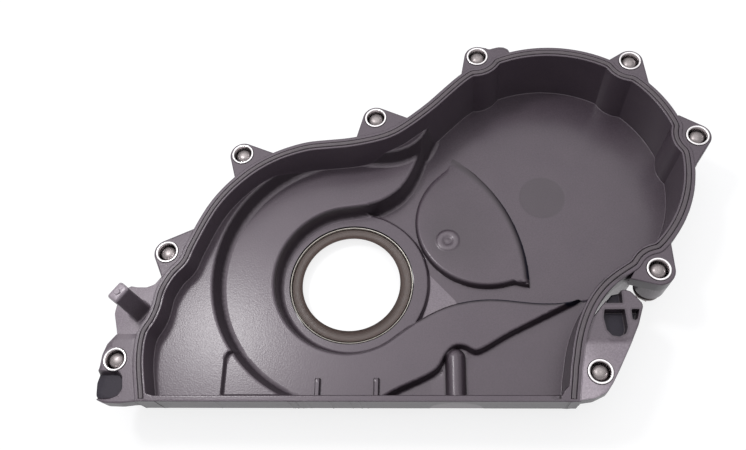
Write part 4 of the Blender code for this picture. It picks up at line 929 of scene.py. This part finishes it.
boltValues = {"sleeveOuter": 5.3, "sleeveInner": 4.3, "sleeveLength": 20.0, "tip": -1.0, "radius": 3.4,
              "seat": -24.0, "flangeRadius": 6.3, "flangeHeight": 1.3, "hexRadius": 4.9, "hexHeight": 5.0,
              "segments": 72, "bright": (0.74, 0.71, 0.72), "grey": (0.25, 0.225, 0.225)}


def fastenerPieces(v):
    # sleeves are rings with turned chamfers, bolts a domed tip, a shank, a coned flange and a hex head
    outer, inner, low = v["sleeveOuter"], v["sleeveInner"], -v["sleeveLength"]
    ring = [(outer, low + 0.25), (outer - 0.25, low), (inner + 0.25, low), (inner, low + 0.25), (inner, -0.32),
            (inner + 0.14, -0.1), (inner + 0.38, 0.0), (outer - 0.26, 0.0), (outer - 0.08, -0.08), (outer, -0.26)]
    seat, wide = v["seat"], v["flangeRadius"]
    flange = seat - v["flangeHeight"]
    end = flange - v["hexHeight"]
    tip, radius, hexagon = v["tip"], v["radius"], v["hexRadius"] * cos(pi / 6)
    bolt = [(0.0, tip - 0.02), (0.7, tip), (1.5, tip - 0.1), (2.1, tip - 0.3), (2.7, tip - 0.62), (3.1, tip - 1.0),
            (radius, tip - 1.5), (radius, seat + 0.4), (radius + 0.3, seat), (wide - 0.2, seat), (wide, seat - 0.2),
            (wide, flange + 0.5), (hexagon + 0.5, flange + 0.05), (hexagon, flange), (hexagon, end + 0.5),
            (hexagon - 0.45, end), (2.6, end), (2.3, end + 0.6), (0.0, end + 0.7)]
    flats = np.isin(np.arange(len(bolt)), (13, 14))

    def hexShape(row, angle):
        # one over the cosine of the angle from the middle of the flat
        fromFlat = (angle + pi / 6) % (pi / 3) - pi / 6
        return np.where(flats[row], 1 / np.cos(fromFlat), 1.0)

    bright = turnedMetal("sleeveSteel", v["bright"], (0.2, 0.32), 6, 0.35)
    grey = turnedMetal("boltSteel", v["grey"], (0.3, 0.45), 4, 0.5)
    for number, place in enumerate(boltPlaces, 1):
        sleeve = turnedPiece("sleeveRing%d" % number, ring, v["segments"], place, smoothAngle=50)
        finishPiece(sleeve, bright, "sleeve_%d" % number)
        fastener = turnedPiece("flangeBolt%d" % number, bolt, v["segments"], place, hexShape, 32)
        finishPiece(fastener, grey, "bolt_%d" % number)


fastenerPieces(boltValues)
print("sleeves and bolts")

cameraValues = {"place": (48.08, -130.25, 323.58), "view": (-0.09764, 0.41420, -0.90493),
                "up": (0.02123, 0.90994, 0.41420), "lens": 37.3, "sensor": 36.0}


def addCamera(v):
    lens = bpy.data.cameras.new("photoCamera")
    lens.lens = v["lens"]
    lens.sensor_width = v["sensor"]
    lens.clip_start = 0.01
    back = -Vector(v["view"]).normalized()
    side = Vector(v["up"]).cross(back).normalized()
    up = back.cross(side)
    turn = Matrix((side, up, back)).transposed().to_4x4()
    place = Matrix.Translation(Vector(toFrame(v["place"])))
    bpy.context.scene.camera = addObject("photoCamera", lens, place @ turn)


lightValues = {
    "key": {"place": (-262, 170, 640), "aim": (-20, 0, 0), "size": 90, "power": 1.55},
    "softbox": {"place": (20, 260, 640), "aim": (20, 250, 0), "size": 820, "power": 2.75},
}
roomValues = {"colour": (0.95, 0.96, 1.0), "strength": 0.41}
floorValues = {"size": 3.0, "height": -0.0005, "colour": (0.93, 0.93, 0.94), "litColour": (0.26, 0.26, 0.265),
               "roughness": 0.9, "glow": 0.8}


def addLight(name, v):
    lamp = bpy.data.lights.new(name, "AREA")
    lamp.shape = "SQUARE"
    lamp.size = v["size"] * millimetre
    lamp.energy = v["power"]
    place, aim = Vector(toFrame(v["place"])), Vector(toFrame(v["aim"]))
    turn = (place - aim).to_track_quat("Z", "Y").to_matrix().to_4x4()
    addObject(name, lamp, Matrix.Translation(place) @ turn)


def whiteToCamera(tree, dark, output, strength=1.0, litColour=None):
    # camera, mirror and glass rays see white; everything else sees the soft light level
    path = newNode(tree, "LightPath")
    seen = path.outputs["Is Camera Ray"]
    for ray in ("Is Glossy Ray", "Is Transmission Ray"):
        seen = newNode(tree, "Math", {0: seen, 1: path.outputs[ray]}, operation="MAXIMUM").outputs["Value"]
    kind = "Emission" if output.type == "OUTPUT_MATERIAL" else "Background"
    white = newNode(tree, kind, {"Color": (1, 1, 1, 1), "Strength": strength})
    if litColour:
        # the floor adds its own lit colour to the white, so that the shadow on it stays
        lit = newNode(tree, "BsdfDiffuse", {"Color": (*litColour, 1)})
        white = newNode(tree, "AddShader", {0: white.outputs[0], 1: lit.outputs[0]})
    mix = newNode(tree, "MixShader", {"Fac": seen, 1: dark.outputs[0], 2: white.outputs[0]})
    fill(tree, output, {"Surface": mix.outputs[0]})


world = bpy.data.worlds.new("softRoom")
bpy.context.scene.world = world
world.use_nodes = True
room = world.node_tree
background = room.nodes["Background"]
fill(room, background, {"Color": (*roomValues["colour"], 1), "Strength": roomValues["strength"]})
whiteToCamera(room, background, room.nodes["World Output"])


def addFloor(v):
    half = v["size"] / 2
    corners = [(-half, -half), (half, -half), (half, half), (-half, half)]
    mesh = bpy.data.meshes.new("floor")
    mesh.from_pydata([(*corner, v["height"]) for corner in corners], [], [(0, 1, 2, 3)])
    look, tree, shader = newMaterial("paleFloor", v["colour"], v["roughness"])
    whiteToCamera(tree, shader, tree.nodes["Material Output"], v["glow"], v["litColour"])
    mesh.materials.append(look)
    addObject("floor", mesh)


addFloor(floorValues)
addCamera(cameraValues)
for name, values in lightValues.items():
    addLight(name, values)
bpy.context.scene.view_settings.view_transform = "Standard"
print("stage ready")
